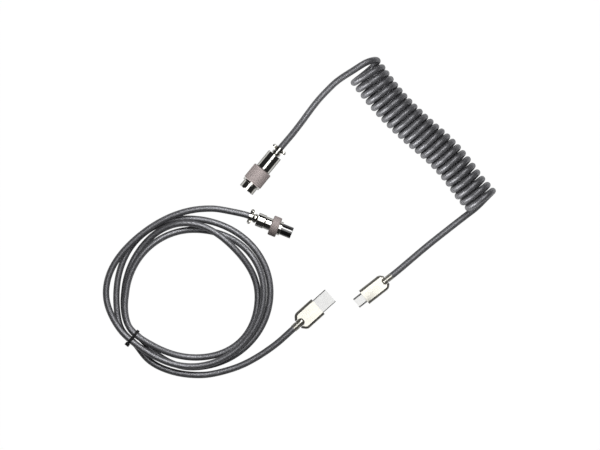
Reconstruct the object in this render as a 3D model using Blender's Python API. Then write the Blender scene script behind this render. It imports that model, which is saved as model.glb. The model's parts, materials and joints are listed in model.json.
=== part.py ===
"""A detachable coiled keyboard cable, laid out flat as its two separate halves.

The host half is a looped and tied cable from a USB-A plug to a round four-pole plug with a coupling nut.
The keyboard half is a round four-pole socket, a lead, a coil of cable and a USB-C plug.
Sizes are in millimetres and become metres where a mesh is made. +Z is up, and the cable lies on z = 0.
Each connector is modelled along its own +X, towards its mating end, under an empty that places it.
"""
import math

import bmesh
import bpy
from mathutils import Vector

MM = 0.001

# Clearances
SEAT_GAP = 0.3
RUN_GAP = 0.3
CONTACT_GAP = 0.15
CUT_PAST = 1.0
CLOSE = 0.001

# Facets round a turned piece
ROUND_SIDES = 32
SMALL_SIDES = 12
CORNER_STEPS = 3
NOSE_STEPS = 5
SLOT_STEPS = 10
JAW_STEPS = 8

# Cable
CABLE_DIA = 4.8
CORE_DIA = 2.4
LEAD_SPACING = 10.0
ROUTE_STEPS = 24
GAP_STEPS = 4
LOOPS_APART = 60.0
CURLS_APART = 40.0
LEAD_RESOLUTION = 3
WOUND_RESOLUTION = 1
CURL_POINTS = 10
QUARTER_POINTS = 6
TIE_QUARTER_POINTS = 10
STRAND_PITCH = CABLE_DIA + 0.6
LOW_STRAND = CABLE_DIA / 2 + 0.05
HIGH_STRAND = LOW_STRAND + STRAND_PITCH

# USB-A plug
USB_A_SHELL_WIDTH = 12.0
USB_A_SHELL_HEIGHT = 4.5
USB_A_SHELL_WALL = 0.4
USB_A_SHELL_ROUND = 0.6
USB_A_SHELL_REACH = 12.3
USB_A_SHELL_SUNK = 7.2
USB_A_CASE_LENGTH = 19.7
USB_A_CASE_SIDE_WALL = 1.15
USB_A_CASE_TOP_WALL = 0.75
USB_A_CASE_TAPER = 2.9
USB_A_CASE_HORN = 0.7
USB_A_CASE_EDGE = 1.9
USB_A_MOULD_LENGTH = 4.0
USB_A_COLLAR_DIA = 5.5
USB_A_COLLAR_REACH = 4.7
USB_A_COLLAR_NOSE = 5.2
USB_A_TONGUE_THICKNESS = 1.6
USB_A_TONGUE_SETBACK = 0.8
USB_A_CONTACT_WIDTH = 1.0
USB_A_CONTACT_LENGTH = 7.4
USB_A_CONTACT_THICKNESS = 0.3
USB_A_CONTACT_SETBACK = 1.2
USB_A_CONTACT_PLACES = (-3.5, -1.0, 1.0, 3.5)

# USB-C plug
USB_C_SHELL_WIDTH = 8.25
USB_C_SHELL_HEIGHT = 2.4
USB_C_SHELL_WALL = 0.3
USB_C_SHELL_ROUND = 1.19
USB_C_SHELL_REACH = 7.3
USB_C_SHELL_SUNK = 3.0
USB_C_CASE_LENGTH = 21.1
USB_C_CASE_SIDE_WALL = 1.8
USB_C_CASE_TOP_WALL = 1.3
USB_C_CASE_TAPER = 2.4
USB_C_CASE_HORN = 0.7
USB_C_CASE_EDGE = 1.8
USB_C_BOARD_LENGTH = 6.0
USB_C_BOARD_THICKNESS = 0.8
USB_C_MOULD_LENGTH = 5.0
USB_C_COLLAR_DIA = 4.9
USB_C_COLLAR_REACH = 4.9
USB_C_COLLAR_NOSE = 3.6
USB_C_INSULATOR_SETBACK = 0.5
USB_C_SLOT_WIDTH = 6.0
USB_C_SLOT_HEIGHT = 0.7
USB_C_SLOT_DEPTH = 5.0
USB_C_CONTACT_WIDTH = 0.3
USB_C_CONTACT_THICKNESS = 0.15
USB_C_CONTACT_LENGTH = 4.0
USB_C_CONTACT_PLACES = (-2.25, -0.75, 0.75, 2.25)

# Soft chamfer of the USB cases: its height as a share of its width, and 1 for an ellipse or 2 for a flat
CASE_EDGE_SLOPE = 0.74
CASE_EDGE_SHAPE = 1.5
CASE_EDGE_STEPS = 4

# Collars' decorative groove
COLLAR_GROOVE_WIDTH = 0.5
COLLAR_GROOVE_DEPTH = 0.4
COLLAR_EDGE = 0.4

# Round four-pole connectors, shared sizes
THREAD_DIA = 12.0
GRIP_RISE = 1.6
GRIP_DIA = THREAD_DIA + 2 * GRIP_RISE
GRIP_EDGE = 0.6
POLE_COUNT = 4
POLE_CIRCLE_DIA = 4.4
PIN_DIA = 1.0
SOCKET_DIA = 1.7
SOCKET_BORE_DEPTH = 7.0
BARREL_EDGE = 0.5
BARREL_WALL = 1.0
BARREL_END_WALL = 1.5
NECK_DIA = 5.6
NECK_LENGTH = 3.4
SPIGOT_WALL = 0.7
SPIGOT_LENGTH = 4.5

# Two-screw cable clamps
CLAMP_LENGTH = 3.4
CLAMP_WALL = 0.6
CLAMP_SPLIT = 0.3
CLAMP_EAR_THICKNESS = 1.0
CLAMP_EAR_RADIUS = 1.65
CLAMP_EAR_EDGE = 0.5
CLAMP_SCREW_PITCH = 8.2
CLAMP_NECK_LAP = 0.4
SCREW_HEAD_DIA = 2.2
SCREW_HEAD_HEIGHT = 1.3
SCREW_TOP_DIA = 1.2
SCREW_DOME_DIA = 1.9
SCREW_DOME_DROP = 0.4
SCREW_RIM_DROP = 0.8
CLAMP_EAR_ROUND = 0.95
SCREW_SHANK_DIA = 1.2

# Round plug on the host half
PLUG_BARREL_DIA = 10.2
PLUG_BARREL_LENGTH = 6.3
PLUG_FRONT_DIA = 9.2
PLUG_NUT_PLACE = 4.8
PLUG_RING_DIA = 10.4
PLUG_RING_PLACE = 13.0
PLUG_FLANGE_PLAY = 0.3
PLUG_FLANGE_DIA = THREAD_DIA - 2 * PLUG_FLANGE_PLAY
PLUG_FLANGE_THICKNESS = 1.0
PLUG_INSERT_DIA = 8.5
PLUG_INSERT_REACH = 8.4
PLUG_STEM_DIA = 6.8
PLUG_STEM_LENGTH = 5.5
NUT_LENGTH = 6.1
NUT_COUNTERBORE = 1.1
NUT_WEB = 1.1
NUT_THREAD_PLAY = 0.2
CLIP_WALL = 0.9
CLIP_THICKNESS = 0.5

# Round socket on the keyboard half
SOCKET_BARREL_DIA = 11.4
SOCKET_BARREL_LENGTH = 14.1
SOCKET_GROOVE_PLACE = 9.0
SOCKET_GROOVE_WIDTH = 0.5
SOCKET_GROOVE_DEPTH = 0.3
SLEEVE_LENGTH = 12.7
SOCKET_FLANGE_RISE = 1.0
SOCKET_FLANGE_DIA = THREAD_DIA + 2 * SOCKET_FLANGE_RISE
SOCKET_FLANGE_THICKNESS = 1.2
TUBE_REACH = 6.9
TUBE_WALL = 0.8
TUBE_BODY_WALL = 0.8
TUBE_PLAY = 0.25
TUBE_FLOOR = 1.2
INSULATOR_LENGTH = 7.5
PIN_SETBACK = 2.6
PIN_TAIL = 2.5

# Coil
COIL_TURNS = 23
COIL_LENGTH = 129.0
COIL_OUTER_DIA = 27.2
COIL_LEAD_IN = 2.9
COIL_EXTRA_TURN = 0.25
COIL_REST = 0.05
# Its axis bends to one side and back to the other, and is straight again before its end
COIL_BOW = 2.2
COIL_BOW_END = 0.9
# The first curls lean forward and those in the middle lean back
COIL_FIRST_LEAN = 3.7
COIL_LEAN_LENGTH = 30.0
COIL_LEAN_START = 0.5
COIL_BACK_LEAN = 2.0
# The first curls are wider, and those past the middle lie a little nearer to the start
COIL_SWELL = 0.9
COIL_SWELL_LENGTH = 35.0
COIL_LAG = 1.1

# Cable tie
TIE_WIDTH = 2.0
TIE_THICKNESS = 0.8
TIE_ROUND = 2.2
TIE_HEAD_SIZE = 3.3
TIE_HEAD_DEPTH = 2.2
TIE_PULL_LENGTH = 12.7

# Where things lie on the surface, from the middle of the connectors: x, y and heading in degrees
PLUG_PLACE = (-38.3, 11.5, -22.2)
SOCKET_PLACE = (-39.9, 50.6, 230.7)
USB_A_PLACE = (0.9, -51.1, 42.0)
USB_C_PLACE = (35.2, -44.2, 218.05)
LOOP_CENTRE = (-92.8, -41.1)
TIE_OFFSET = (-43.3, -32.5)
TIE_HEADING = -38.9
COIL_PLACE = (35.4, 123.4, -48.1)

# Parts of a quarter turn over which a strand changes height
EARLY = (0.0, 0.6)
MIDWAY = (0.3, 0.75)
LATE = (0.5, 1.0)
# Loops of the host cable, in the order in which the cable passes them: the side, how far out from the
# middle of the loops it passes, how far along that side, its height, how much the run to the next
# side flattens, and where on that run it changes height
LOOP_PASSES = (
    ("top", 62.8, 12.7, HIGH_STRAND, 0.045, EARLY),
    ("left", 63.4, 0.4, HIGH_STRAND, 0.060, LATE),
    ("bottom", 54.2, 0.0, HIGH_STRAND, 0.010, EARLY),
    ("right", 53.6, 0.7, HIGH_STRAND, -0.016, MIDWAY),
    ("top", 47.2, 1.5, LOW_STRAND, 0.000, EARLY),
    ("left", 48.8, -5.2, HIGH_STRAND, 0.020, LATE),
    ("bottom", 47.9, 3.0, LOW_STRAND, -0.030, EARLY),
    ("right", 49.1, -2.2, LOW_STRAND, 0.060, EARLY),
    ("top", 52.1, -4.5, HIGH_STRAND, 0.015, EARLY),
    ("left", 50.4, -3.7, LOW_STRAND, 0.045, LATE),
    ("bottom", 55.2, 0.0, LOW_STRAND, 0.000, EARLY),
    ("right", 58.4, 0.7, LOW_STRAND, -0.003, EARLY),
    ("top", 55.4, -3.0, LOW_STRAND, -0.020, EARLY),
    ("left", 56.1, -2.2, LOW_STRAND, -0.020, LATE),
    ("bottom", 60.9, 4.5, LOW_STRAND, 0.000, EARLY),
)
# Each pass's place under the tie: inner or outer row, and lower or upper row
TIE_SLOTS = ((-1, 1), (1, 1), (1, 0), (-1, 0))

# Free stretches of cable, as points that they pass: x, y, z
PLUG_LEAD_VIA = (
    (-57.8, 18.4, HIGH_STRAND + 0.2),
    (-65.1, 19.9, HIGH_STRAND),
)
USB_A_LEAD_VIA = (
    (-71.8, -99.9, LOW_STRAND),
    (-56.7, -95.1, LOW_STRAND),
    (-42.9, -87.8, LOW_STRAND + 0.1),
    (-30.0, -78.8, LOW_STRAND + 0.6),
)
SOCKET_LEAD_VIA = (
    (-18.0, 76.9, 8.5),
    (-11.5, 85.2, 10.4),
    (-5.4, 93.4, 13.0),
    (0.9, 101.4, 16.1),
    (7.9, 108.7, 19.2),
    (15.4, 115.6, 22.0),
)
USB_C_LEAD_VIA = (
    (110.3, 16.1, LOW_STRAND),
    (98.7, 7.1, LOW_STRAND),
    (83.4, -5.0, LOW_STRAND),
    (72.2, -14.4, LOW_STRAND + 0.1),
)

# Finishes: colour, roughness, metallic
FINISHES = {
    "nickel": ((0.80, 0.79, 0.77), 0.28, 1.0),
    "chrome": ((0.72, 0.72, 0.72), 0.12, 1.0),
    "satin": ((0.42, 0.38, 0.37), 0.45, 1.0),
    "black": ((0.010, 0.010, 0.012), 0.22, 0.0),
    "white": ((0.80, 0.80, 0.78), 0.40, 0.0),
    "brass": ((0.75, 0.56, 0.22), 0.30, 1.0),
    "board": ((0.05, 0.20, 0.10), 0.50, 0.0),
    "braid": ((0.16, 0.16, 0.18), 0.80, 0.0),
}


def clear_scene():
    """Start from an empty scene."""
    for obj in list(bpy.data.objects):
        bpy.data.objects.remove(obj, do_unlink=True)


# Meshes


def finish_object(obj, finish):
    """Give a piece its own material."""
    colour, roughness, metallic = FINISHES[finish]
    material = bpy.data.materials.new(obj.name)
    material.use_nodes = True
    shader = material.node_tree.nodes["Principled BSDF"]
    shader.inputs["Base Color"].default_value = (*colour, 1.0)
    shader.inputs["Roughness"].default_value = roughness
    shader.inputs["Metallic"].default_value = metallic
    obj.data.materials.append(material)


def add_mesh(name, bm, parent, finish):
    """Turn a millimetre bmesh into a shaded object in metres."""
    bmesh.ops.recalc_face_normals(bm, faces=bm.faces)
    bmesh.ops.scale(bm, vec=(MM, MM, MM), verts=bm.verts)
    mesh = bpy.data.meshes.new(name)
    bm.to_mesh(mesh)
    bm.free()
    mesh.shade_smooth()
    mesh.set_sharp_from_angle(angle=math.radians(35))
    obj = bpy.data.objects.new(name, mesh)
    bpy.context.collection.objects.link(obj)
    obj.parent = parent
    if finish:
        finish_object(obj, finish)
    return obj


def add_tool(name, bm, parent):
    """A shape that only cuts or joins another piece."""
    tool = add_mesh(name, bm, parent, None)
    tool.hide_render = True
    tool.display_type = "WIRE"
    return tool


def combine(piece, tool, operation):
    """Cut a tool out of a piece, or join it on."""
    boolean = piece.modifiers.new(tool.name, "BOOLEAN")
    boolean.object = tool
    boolean.operation = operation
    boolean.solver = "EXACT"


def spun(profile, sides, axis="X"):
    """Turn a profile of (place along the axis, radius) round X or Z. It closes on the axis or on itself."""
    bm = bmesh.new()
    if axis == "X":
        verts = [bm.verts.new((place, radius, 0.0)) for place, radius in profile]
    else:
        verts = [bm.verts.new((radius, 0.0, place)) for place, radius in profile]
    edges = [bm.edges.new(pair) for pair in zip(verts, verts[1:])]
    if profile[0][1] > 0.0:
        edges.append(bm.edges.new((verts[-1], verts[0])))
    turn_axis = (1.0, 0.0, 0.0) if axis == "X" else (0.0, 0.0, 1.0)
    bmesh.ops.spin(
        bm, geom=verts + edges, cent=(0.0, 0.0, 0.0), axis=turn_axis,
        angle=2.0 * math.pi, steps=sides, use_merge=True,
    )
    bmesh.ops.remove_doubles(bm, verts=bm.verts, dist=0.0001)
    return bm


def extruded(outline, start, end, axis="X"):
    """Extrude a closed outline along X, where it is (y, z), or along Z, where it is (x, y)."""
    bm = bmesh.new()
    if axis == "X":
        verts = [bm.verts.new((start, u, v)) for u, v in outline]
        reach = (end - start, 0.0, 0.0)
    else:
        verts = [bm.verts.new((u, v, start)) for u, v in outline]
        reach = (0.0, 0.0, end - start)
    face = bm.faces.new(verts)
    grown = bmesh.ops.extrude_face_region(bm, geom=[face])
    moved = [item for item in grown["geom"] if isinstance(item, bmesh.types.BMVert)]
    bmesh.ops.translate(bm, vec=reach, verts=moved)
    return bm


def sleeve_mesh(outer, inner, start, end):
    """A straight tube along X between two outlines of the same number of (y, z) points."""
    bm = bmesh.new()
    rings = []
    for outline, place in ((outer, start), (outer, end), (inner, end), (inner, start)):
        rings.append([bm.verts.new((place, u, v)) for u, v in outline])
    count = len(outer)
    for ring, following in zip(rings, rings[1:] + rings[:1]):
        for k in range(count):
            m = (k + 1) % count
            bm.faces.new((ring[k], ring[m], following[m], following[k]))
    return bm


def rounded_box(width, height, radius, steps=CORNER_STEPS):
    """The outline of a rectangle with round corners, centred."""
    points = []
    across = width / 2 - radius
    up = height / 2 - radius
    for quarter, (su, sv) in enumerate(((1, 1), (-1, 1), (-1, -1), (1, -1))):
        for k in range(steps + 1):
            angle = math.radians(90.0 * (quarter + k / steps))
            points.append((su * across + radius * math.cos(angle), sv * up + radius * math.sin(angle)))
    return points


def arc(radius, first, last, steps):
    """Points of an arc round the origin, from one angle in degrees to another."""
    turns = [math.radians(first + (last - first) * k / steps) for k in range(steps + 1)]
    return [(radius * math.cos(turn), radius * math.sin(turn)) for turn in turns]


def box_outline(low, high):
    """The outline of a rectangle from its lowest to its highest corner."""
    return [(low[0], low[1]), (high[0], low[1]), (high[0], high[1]), (low[0], high[1])]


def rod(start, end, dia, sides=SMALL_SIDES):
    """A plain round bar along X."""
    return spun([(start, 0.0), (start, dia / 2), (end, dia / 2), (end, 0.0)], sides)


def shift(bm, y=0.0, z=0.0, x=0.0):
    """Move a bmesh and give it back."""
    bmesh.ops.translate(bm, vec=(x, y, z), verts=bm.verts)
    return bm


def add_place(name, place, height):
    """An empty on a connector's axis, turned to its heading."""
    empty = bpy.data.objects.new(name, None)
    bpy.context.collection.objects.link(empty)
    empty.location = (place[0] * MM, place[1] * MM, height * MM)
    empty.rotation_euler = (0.0, 0.0, math.radians(place[2]))
    return empty


def on_axis(place, height, reach):
    """The point on a connector's axis that lies so far forward of its place."""
    heading = math.radians(place[2])
    return Vector((place[0] + reach * math.cos(heading), place[1] + reach * math.sin(heading), height))


# USB plugs


def case_ring(sizes, inset):
    """The outline of a case with its front at x = 0, drawn in by an inset everywhere but at the front."""
    length, taper, half = sizes["length"], sizes["taper"], sizes["width"] / 2
    run = half - sizes["slot"] / 2 - sizes["horn"]
    level = run * (length - taper) + taper * half - inset * math.hypot(run, taper)
    side = half - inset
    rear = inset - length
    corner = (taper * side - level) / run
    narrow = (level + run * rear) / taper
    return [(0.0, -side), (0.0, side), (corner, side), (rear, narrow), (rear, -narrow), (corner, -side)]


def case_mesh(sizes):
    """A flat case with slanted rear corners, whose sides and rear have a wide soft chamfer."""
    edge = sizes["edge"]
    top = sizes["height"] / 2
    levels = []
    for k in range(CASE_EDGE_STEPS + 1):
        turn = math.pi / 2 * k / CASE_EDGE_STEPS
        out = math.sin(turn) ** CASE_EDGE_SHAPE
        up = math.cos(turn) ** CASE_EDGE_SHAPE if k < CASE_EDGE_STEPS else 0.0
        levels.append((edge * (1.0 - out), top - edge * CASE_EDGE_SLOPE * (1.0 - up)))
    bm = bmesh.new()
    rings = []
    for inset, height in levels + [(inset, -height) for inset, height in reversed(levels)]:
        rings.append([bm.verts.new((x, y, height)) for x, y in case_ring(sizes, inset)])
    for ring, following in zip(rings, rings[1:]):
        for k in range(len(ring)):
            m = (k + 1) % len(ring)
            bm.faces.new((ring[k], ring[m], following[m], following[k]))
    bm.faces.new(rings[0])
    bm.faces.new(rings[-1])
    return bm


def collar_profile(rear, join, nose, dia):
    """A ferrule with a groove where it meets the case and a round nose, open along its axis."""
    radius = dia / 2
    core = CORE_DIA / 2
    waist = radius - COLLAR_GROOVE_DEPTH
    reach = math.sqrt(radius ** 2 - core ** 2)
    profile = [
        (rear, core), (rear, radius - COLLAR_EDGE), (rear + COLLAR_EDGE, radius),
        (join - COLLAR_GROOVE_WIDTH, radius), (join - COLLAR_GROOVE_WIDTH, waist),
        (join, waist), (join, radius),
    ]
    last = math.degrees(math.atan2(core, reach))
    for along, out in arc(radius, 90.0, last, NOSE_STEPS):
        profile.append((nose - reach + along, out))
    return profile


def add_usb_case(name, place, sizes):
    """The case of a USB plug, with its front pocket, its rear slot for the collar and the wires' hole."""
    case = add_mesh(name + "_case", case_mesh(sizes), place, "nickel")
    pocket = rounded_box(sizes["pocket_width"], sizes["pocket_height"], sizes["pocket_round"])
    tool = add_tool(name + "_pocket", extruded(pocket, -sizes["pocket_depth"], CUT_PAST), place)
    combine(case, tool, "DIFFERENCE")
    radius = sizes["slot"] / 2
    slot_end = sizes["nose"] + SEAT_GAP - radius
    slot = [(slot_end + u, v) for u, v in arc(radius, 90.0, -90.0, SLOT_STEPS)]
    slot += [(-sizes["length"] - CUT_PAST, -radius), (-sizes["length"] - CUT_PAST, radius)]
    tall = sizes["height"] / 2 + CUT_PAST
    combine(case, add_tool(name + "_slot", extruded(slot, -tall, tall, axis="Z"), place), "DIFFERENCE")
    hole = rod(sizes["nose"] - CUT_PAST, -sizes["pocket_depth"] + CUT_PAST, CORE_DIA)
    combine(case, add_tool(name + "_wire_hole", hole, place), "DIFFERENCE")


def add_usb_collar(name, place, length, reach, nose_length, dia):
    """The ferrule that grips the cable behind a USB case."""
    profile = collar_profile(-length - reach, -length, nose_length - length, dia)
    add_mesh(name + "_collar", spun(profile, ROUND_SIDES // 2), place, "nickel")


def add_usb_shell(name, place, width, height, wall, corner, sunk, reach):
    """The thin metal shell that goes into a port."""
    outer = rounded_box(width, height, corner)
    inner = rounded_box(width - 2 * wall, height - 2 * wall, corner - wall)
    add_mesh(name + "_shell", sleeve_mesh(outer, inner, -sunk, reach), place, "nickel")


def add_usb_a(place):
    """The USB-A plug: case, collar, mould, shell, tongue and contacts."""
    width = USB_A_SHELL_WIDTH + 2 * (SEAT_GAP + USB_A_CASE_SIDE_WALL)
    mould_front = -USB_A_SHELL_SUNK - SEAT_GAP
    mould_rear = mould_front - USB_A_MOULD_LENGTH
    add_usb_case("usb_a", place, {
        "length": USB_A_CASE_LENGTH, "width": width, "height": usb_a_height(), "taper": USB_A_CASE_TAPER,
        "horn": USB_A_CASE_HORN, "edge": USB_A_CASE_EDGE, "slot": USB_A_COLLAR_DIA + 2 * SEAT_GAP,
        "nose": USB_A_COLLAR_NOSE - USB_A_CASE_LENGTH, "pocket_width": USB_A_SHELL_WIDTH + 2 * SEAT_GAP,
        "pocket_height": USB_A_SHELL_HEIGHT + 2 * SEAT_GAP, "pocket_round": USB_A_SHELL_ROUND + SEAT_GAP,
        "pocket_depth": SEAT_GAP - mould_rear,
    })
    add_usb_collar("usb_a", place, USB_A_CASE_LENGTH, USB_A_COLLAR_REACH, USB_A_COLLAR_NOSE, USB_A_COLLAR_DIA)
    block = rounded_box(USB_A_SHELL_WIDTH, USB_A_SHELL_HEIGHT, USB_A_SHELL_ROUND)
    add_mesh("usb_a_inner_mould", extruded(block, mould_rear, mould_front), place, "white")
    add_usb_shell("usb_a", place, USB_A_SHELL_WIDTH, USB_A_SHELL_HEIGHT, USB_A_SHELL_WALL,
                  USB_A_SHELL_ROUND, USB_A_SHELL_SUNK, USB_A_SHELL_REACH)
    half = USB_A_SHELL_WIDTH / 2 - USB_A_SHELL_WALL - SEAT_GAP
    floor = -USB_A_SHELL_HEIGHT / 2 + USB_A_SHELL_WALL + SEAT_GAP
    top = floor + USB_A_TONGUE_THICKNESS
    tip = USB_A_SHELL_REACH - USB_A_TONGUE_SETBACK
    tongue = box_outline((-half, floor), (half, top))
    add_mesh("usb_a_tongue", extruded(tongue, -USB_A_SHELL_SUNK, tip), place, "white")
    front = tip - USB_A_CONTACT_SETBACK
    for number, middle in enumerate(USB_A_CONTACT_PLACES, start=1):
        low = (middle - USB_A_CONTACT_WIDTH / 2, top + CONTACT_GAP)
        high = (middle + USB_A_CONTACT_WIDTH / 2, top + CONTACT_GAP + USB_A_CONTACT_THICKNESS)
        strip = extruded(box_outline(low, high), front - USB_A_CONTACT_LENGTH, front)
        add_mesh(f"usb_a_contact_{number}", strip, place, "brass")


def usb_a_height():
    """How thick the USB-A case is."""
    return USB_A_SHELL_HEIGHT + 2 * (SEAT_GAP + USB_A_CASE_TOP_WALL)


def usb_c_height():
    """How thick the USB-C case is."""
    return USB_C_SHELL_HEIGHT + 2 * (SEAT_GAP + USB_C_CASE_TOP_WALL)


def add_usb_c(place):
    """The USB-C plug: case, collar, mould, board, shell, insulator and contacts."""
    width = USB_C_SHELL_WIDTH + 2 * (SEAT_GAP + USB_C_CASE_SIDE_WALL)
    board_front = -USB_C_SHELL_SUNK - SEAT_GAP
    board_rear = board_front - USB_C_BOARD_LENGTH
    mould_front = board_rear - SEAT_GAP
    mould_rear = mould_front - USB_C_MOULD_LENGTH
    add_usb_case("usb_c", place, {
        "length": USB_C_CASE_LENGTH, "width": width, "height": usb_c_height(), "taper": USB_C_CASE_TAPER,
        "horn": USB_C_CASE_HORN, "edge": USB_C_CASE_EDGE, "slot": USB_C_COLLAR_DIA + 2 * SEAT_GAP,
        "nose": USB_C_COLLAR_NOSE - USB_C_CASE_LENGTH, "pocket_width": USB_C_SHELL_WIDTH + 2 * SEAT_GAP,
        "pocket_height": USB_C_SHELL_HEIGHT + 2 * SEAT_GAP, "pocket_round": USB_C_SHELL_ROUND + SEAT_GAP,
        "pocket_depth": SEAT_GAP - mould_rear,
    })
    add_usb_collar("usb_c", place, USB_C_CASE_LENGTH, USB_C_COLLAR_REACH, USB_C_COLLAR_NOSE, USB_C_COLLAR_DIA)
    block = rounded_box(USB_C_SHELL_WIDTH, USB_C_SHELL_HEIGHT, USB_C_SHELL_ROUND)
    add_mesh("usb_c_inner_mould", extruded(block, mould_rear, mould_front), place, "white")
    half = USB_C_SHELL_WIDTH / 2 - USB_C_SHELL_ROUND
    card = box_outline((-half, -USB_C_BOARD_THICKNESS / 2), (half, USB_C_BOARD_THICKNESS / 2))
    add_mesh("usb_c_board", extruded(card, board_rear, board_front), place, "board")
    add_usb_shell("usb_c", place, USB_C_SHELL_WIDTH, USB_C_SHELL_HEIGHT, USB_C_SHELL_WALL,
                  USB_C_SHELL_ROUND, USB_C_SHELL_SUNK, USB_C_SHELL_REACH)
    inset = USB_C_SHELL_WALL + SEAT_GAP
    tip = USB_C_SHELL_REACH - USB_C_INSULATOR_SETBACK
    core = rounded_box(USB_C_SHELL_WIDTH - 2 * inset, USB_C_SHELL_HEIGHT - 2 * inset,
                       USB_C_SHELL_ROUND - inset)
    insulator = add_mesh("usb_c_insulator", extruded(core, -USB_C_SHELL_SUNK, tip), place, "black")
    slot = box_outline((-USB_C_SLOT_WIDTH / 2, -USB_C_SLOT_HEIGHT / 2),
                       (USB_C_SLOT_WIDTH / 2, USB_C_SLOT_HEIGHT / 2))
    tool = add_tool("usb_c_port_slot", extruded(slot, tip - USB_C_SLOT_DEPTH, tip + CUT_PAST), place)
    combine(insulator, tool, "DIFFERENCE")
    low = CONTACT_GAP - USB_C_SLOT_HEIGHT / 2
    rear = tip - USB_C_SLOT_DEPTH + SEAT_GAP
    for number, middle in enumerate(USB_C_CONTACT_PLACES, start=1):
        bottom = (middle - USB_C_CONTACT_WIDTH / 2, low)
        top = (middle + USB_C_CONTACT_WIDTH / 2, low + USB_C_CONTACT_THICKNESS)
        strip = extruded(box_outline(bottom, top), rear, rear + USB_C_CONTACT_LENGTH)
        add_mesh(f"usb_c_contact_{number}", strip, place, "brass")


# Round connectors


def clamp_place(barrel_length):
    """Where the screws of a clamp are, behind a barrel whose front is at x = 0."""
    return -barrel_length - NECK_LENGTH - CLAMP_LENGTH / 2 + CLAMP_NECK_LAP


def cable_end(barrel_length):
    """Where the cable stops against the neck inside a clamp."""
    return -barrel_length - NECK_LENGTH - SEAT_GAP


def clamp_outline(side):
    """Half of a clamp across the cable: a half ring with two flat ears, below (-1) or above (1) the axis."""
    inner = CABLE_DIA / 2 + SEAT_GAP
    outer = inner + CLAMP_WALL
    ear = CLAMP_SCREW_PITCH / 2 + CLAMP_EAR_RADIUS
    ear_top = CLAMP_SPLIT + CLAMP_EAR_THICKNESS
    opening = math.degrees(math.asin(CLAMP_SPLIT / inner))
    shoulder = math.degrees(math.asin(ear_top / outer))
    points = arc(inner, opening, 180.0 - opening, JAW_STEPS)
    points += [(-ear, CLAMP_SPLIT), (-ear, ear_top)]
    points += arc(outer, 180.0 - shoulder, shoulder, JAW_STEPS)
    points += [(ear, ear_top), (ear, CLAMP_SPLIT)]
    return [(u, side * v) for u, v in points]


def on_ear_rim(edge):
    """Whether an edge runs round the outer face of a clamp's ear."""
    ear_top = CLAMP_SPLIT + CLAMP_EAR_THICKNESS
    ring = CABLE_DIA / 2 + SEAT_GAP + CLAMP_WALL
    flat = all(abs(abs(vert.co.z) - ear_top) < CLOSE for vert in edge.verts)
    across = sum(abs(vert.co.y) for vert in edge.verts) / 2
    root = abs(edge.verts[0].co.y - edge.verts[1].co.y) < CLOSE and across < ring
    return flat and not root


def clamp_mesh(middle, side, front):
    """Half of a clamp with rounded ears, as far forward as its front."""
    bm = extruded(clamp_outline(side), middle - CLAMP_LENGTH / 2, front)
    tip = CLAMP_SCREW_PITCH / 2 + CLAMP_EAR_RADIUS
    corners = []
    for item in bm.edges:
        first, second = item.verts[0].co, item.verts[1].co
        upright = abs(first.z - second.z) > CLAMP_EAR_THICKNESS / 2 and abs(first.x - second.x) < CLOSE
        if upright and abs(abs(first.y) - tip) < CLOSE and abs(abs(second.y) - tip) < CLOSE:
            corners.append(item)
    bmesh.ops.bevel(
        bm, geom=corners, offset=CLAMP_EAR_RADIUS * CLAMP_EAR_ROUND, offset_type="OFFSET",
        segments=CORNER_STEPS, profile=0.5, affect="EDGES", clamp_overlap=True,
    )
    bmesh.ops.remove_doubles(bm, verts=bm.verts, dist=CLOSE)
    rim = [item for item in bm.edges if on_ear_rim(item)]
    bmesh.ops.bevel(
        bm, geom=rim, offset=CLAMP_EAR_EDGE, offset_type="OFFSET", segments=1, affect="EDGES",
        clamp_overlap=True,
    )
    return bm


def cut_screw_holes(piece, name, middle, parent):
    """Drill both of a clamp's screw holes through a piece."""
    radius = SCREW_SHANK_DIA / 2 + SEAT_GAP
    reach = CABLE_DIA
    for number, side in enumerate((-1, 1), start=1):
        hole = spun([(-reach, 0.0), (-reach, radius), (reach, radius), (reach, 0.0)], SMALL_SIDES, axis="Z")
        shift(hole, x=middle, y=side * CLAMP_SCREW_PITCH / 2)
        combine(piece, add_tool(f"{name}_screw_hole_{number}", hole, parent), "DIFFERENCE")


def add_clamp(name, parent, barrel_length):
    """The upper half of a cable clamp and its two screws."""
    middle = clamp_place(barrel_length)
    front = -barrel_length - NECK_LENGTH - SEAT_GAP
    saddle = add_mesh(name + "_clamp_saddle", clamp_mesh(middle, 1, front), parent, "chrome")
    cut_screw_holes(saddle, name + "_saddle", middle, parent)
    seat = CLAMP_SPLIT + CLAMP_EAR_THICKNESS + CONTACT_GAP
    head = SCREW_HEAD_DIA / 2
    shank = SCREW_SHANK_DIA / 2
    low = -CLAMP_SPLIT - CLAMP_EAR_THICKNESS
    top = seat + SCREW_HEAD_HEIGHT
    profile = [
        (top, 0.0), (top, SCREW_TOP_DIA / 2), (top - SCREW_DOME_DROP, SCREW_DOME_DIA / 2),
        (top - SCREW_RIM_DROP, head), (seat, head), (seat, shank), (low, shank), (low, 0.0),
    ]
    for number, side in enumerate((-1, 1), start=1):
        bm = shift(spun(profile, SMALL_SIDES, axis="Z"), x=middle, y=side * CLAMP_SCREW_PITCH / 2)
        add_mesh(f"{name}_clamp_screw_{number}", bm, parent, "chrome")


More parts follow.
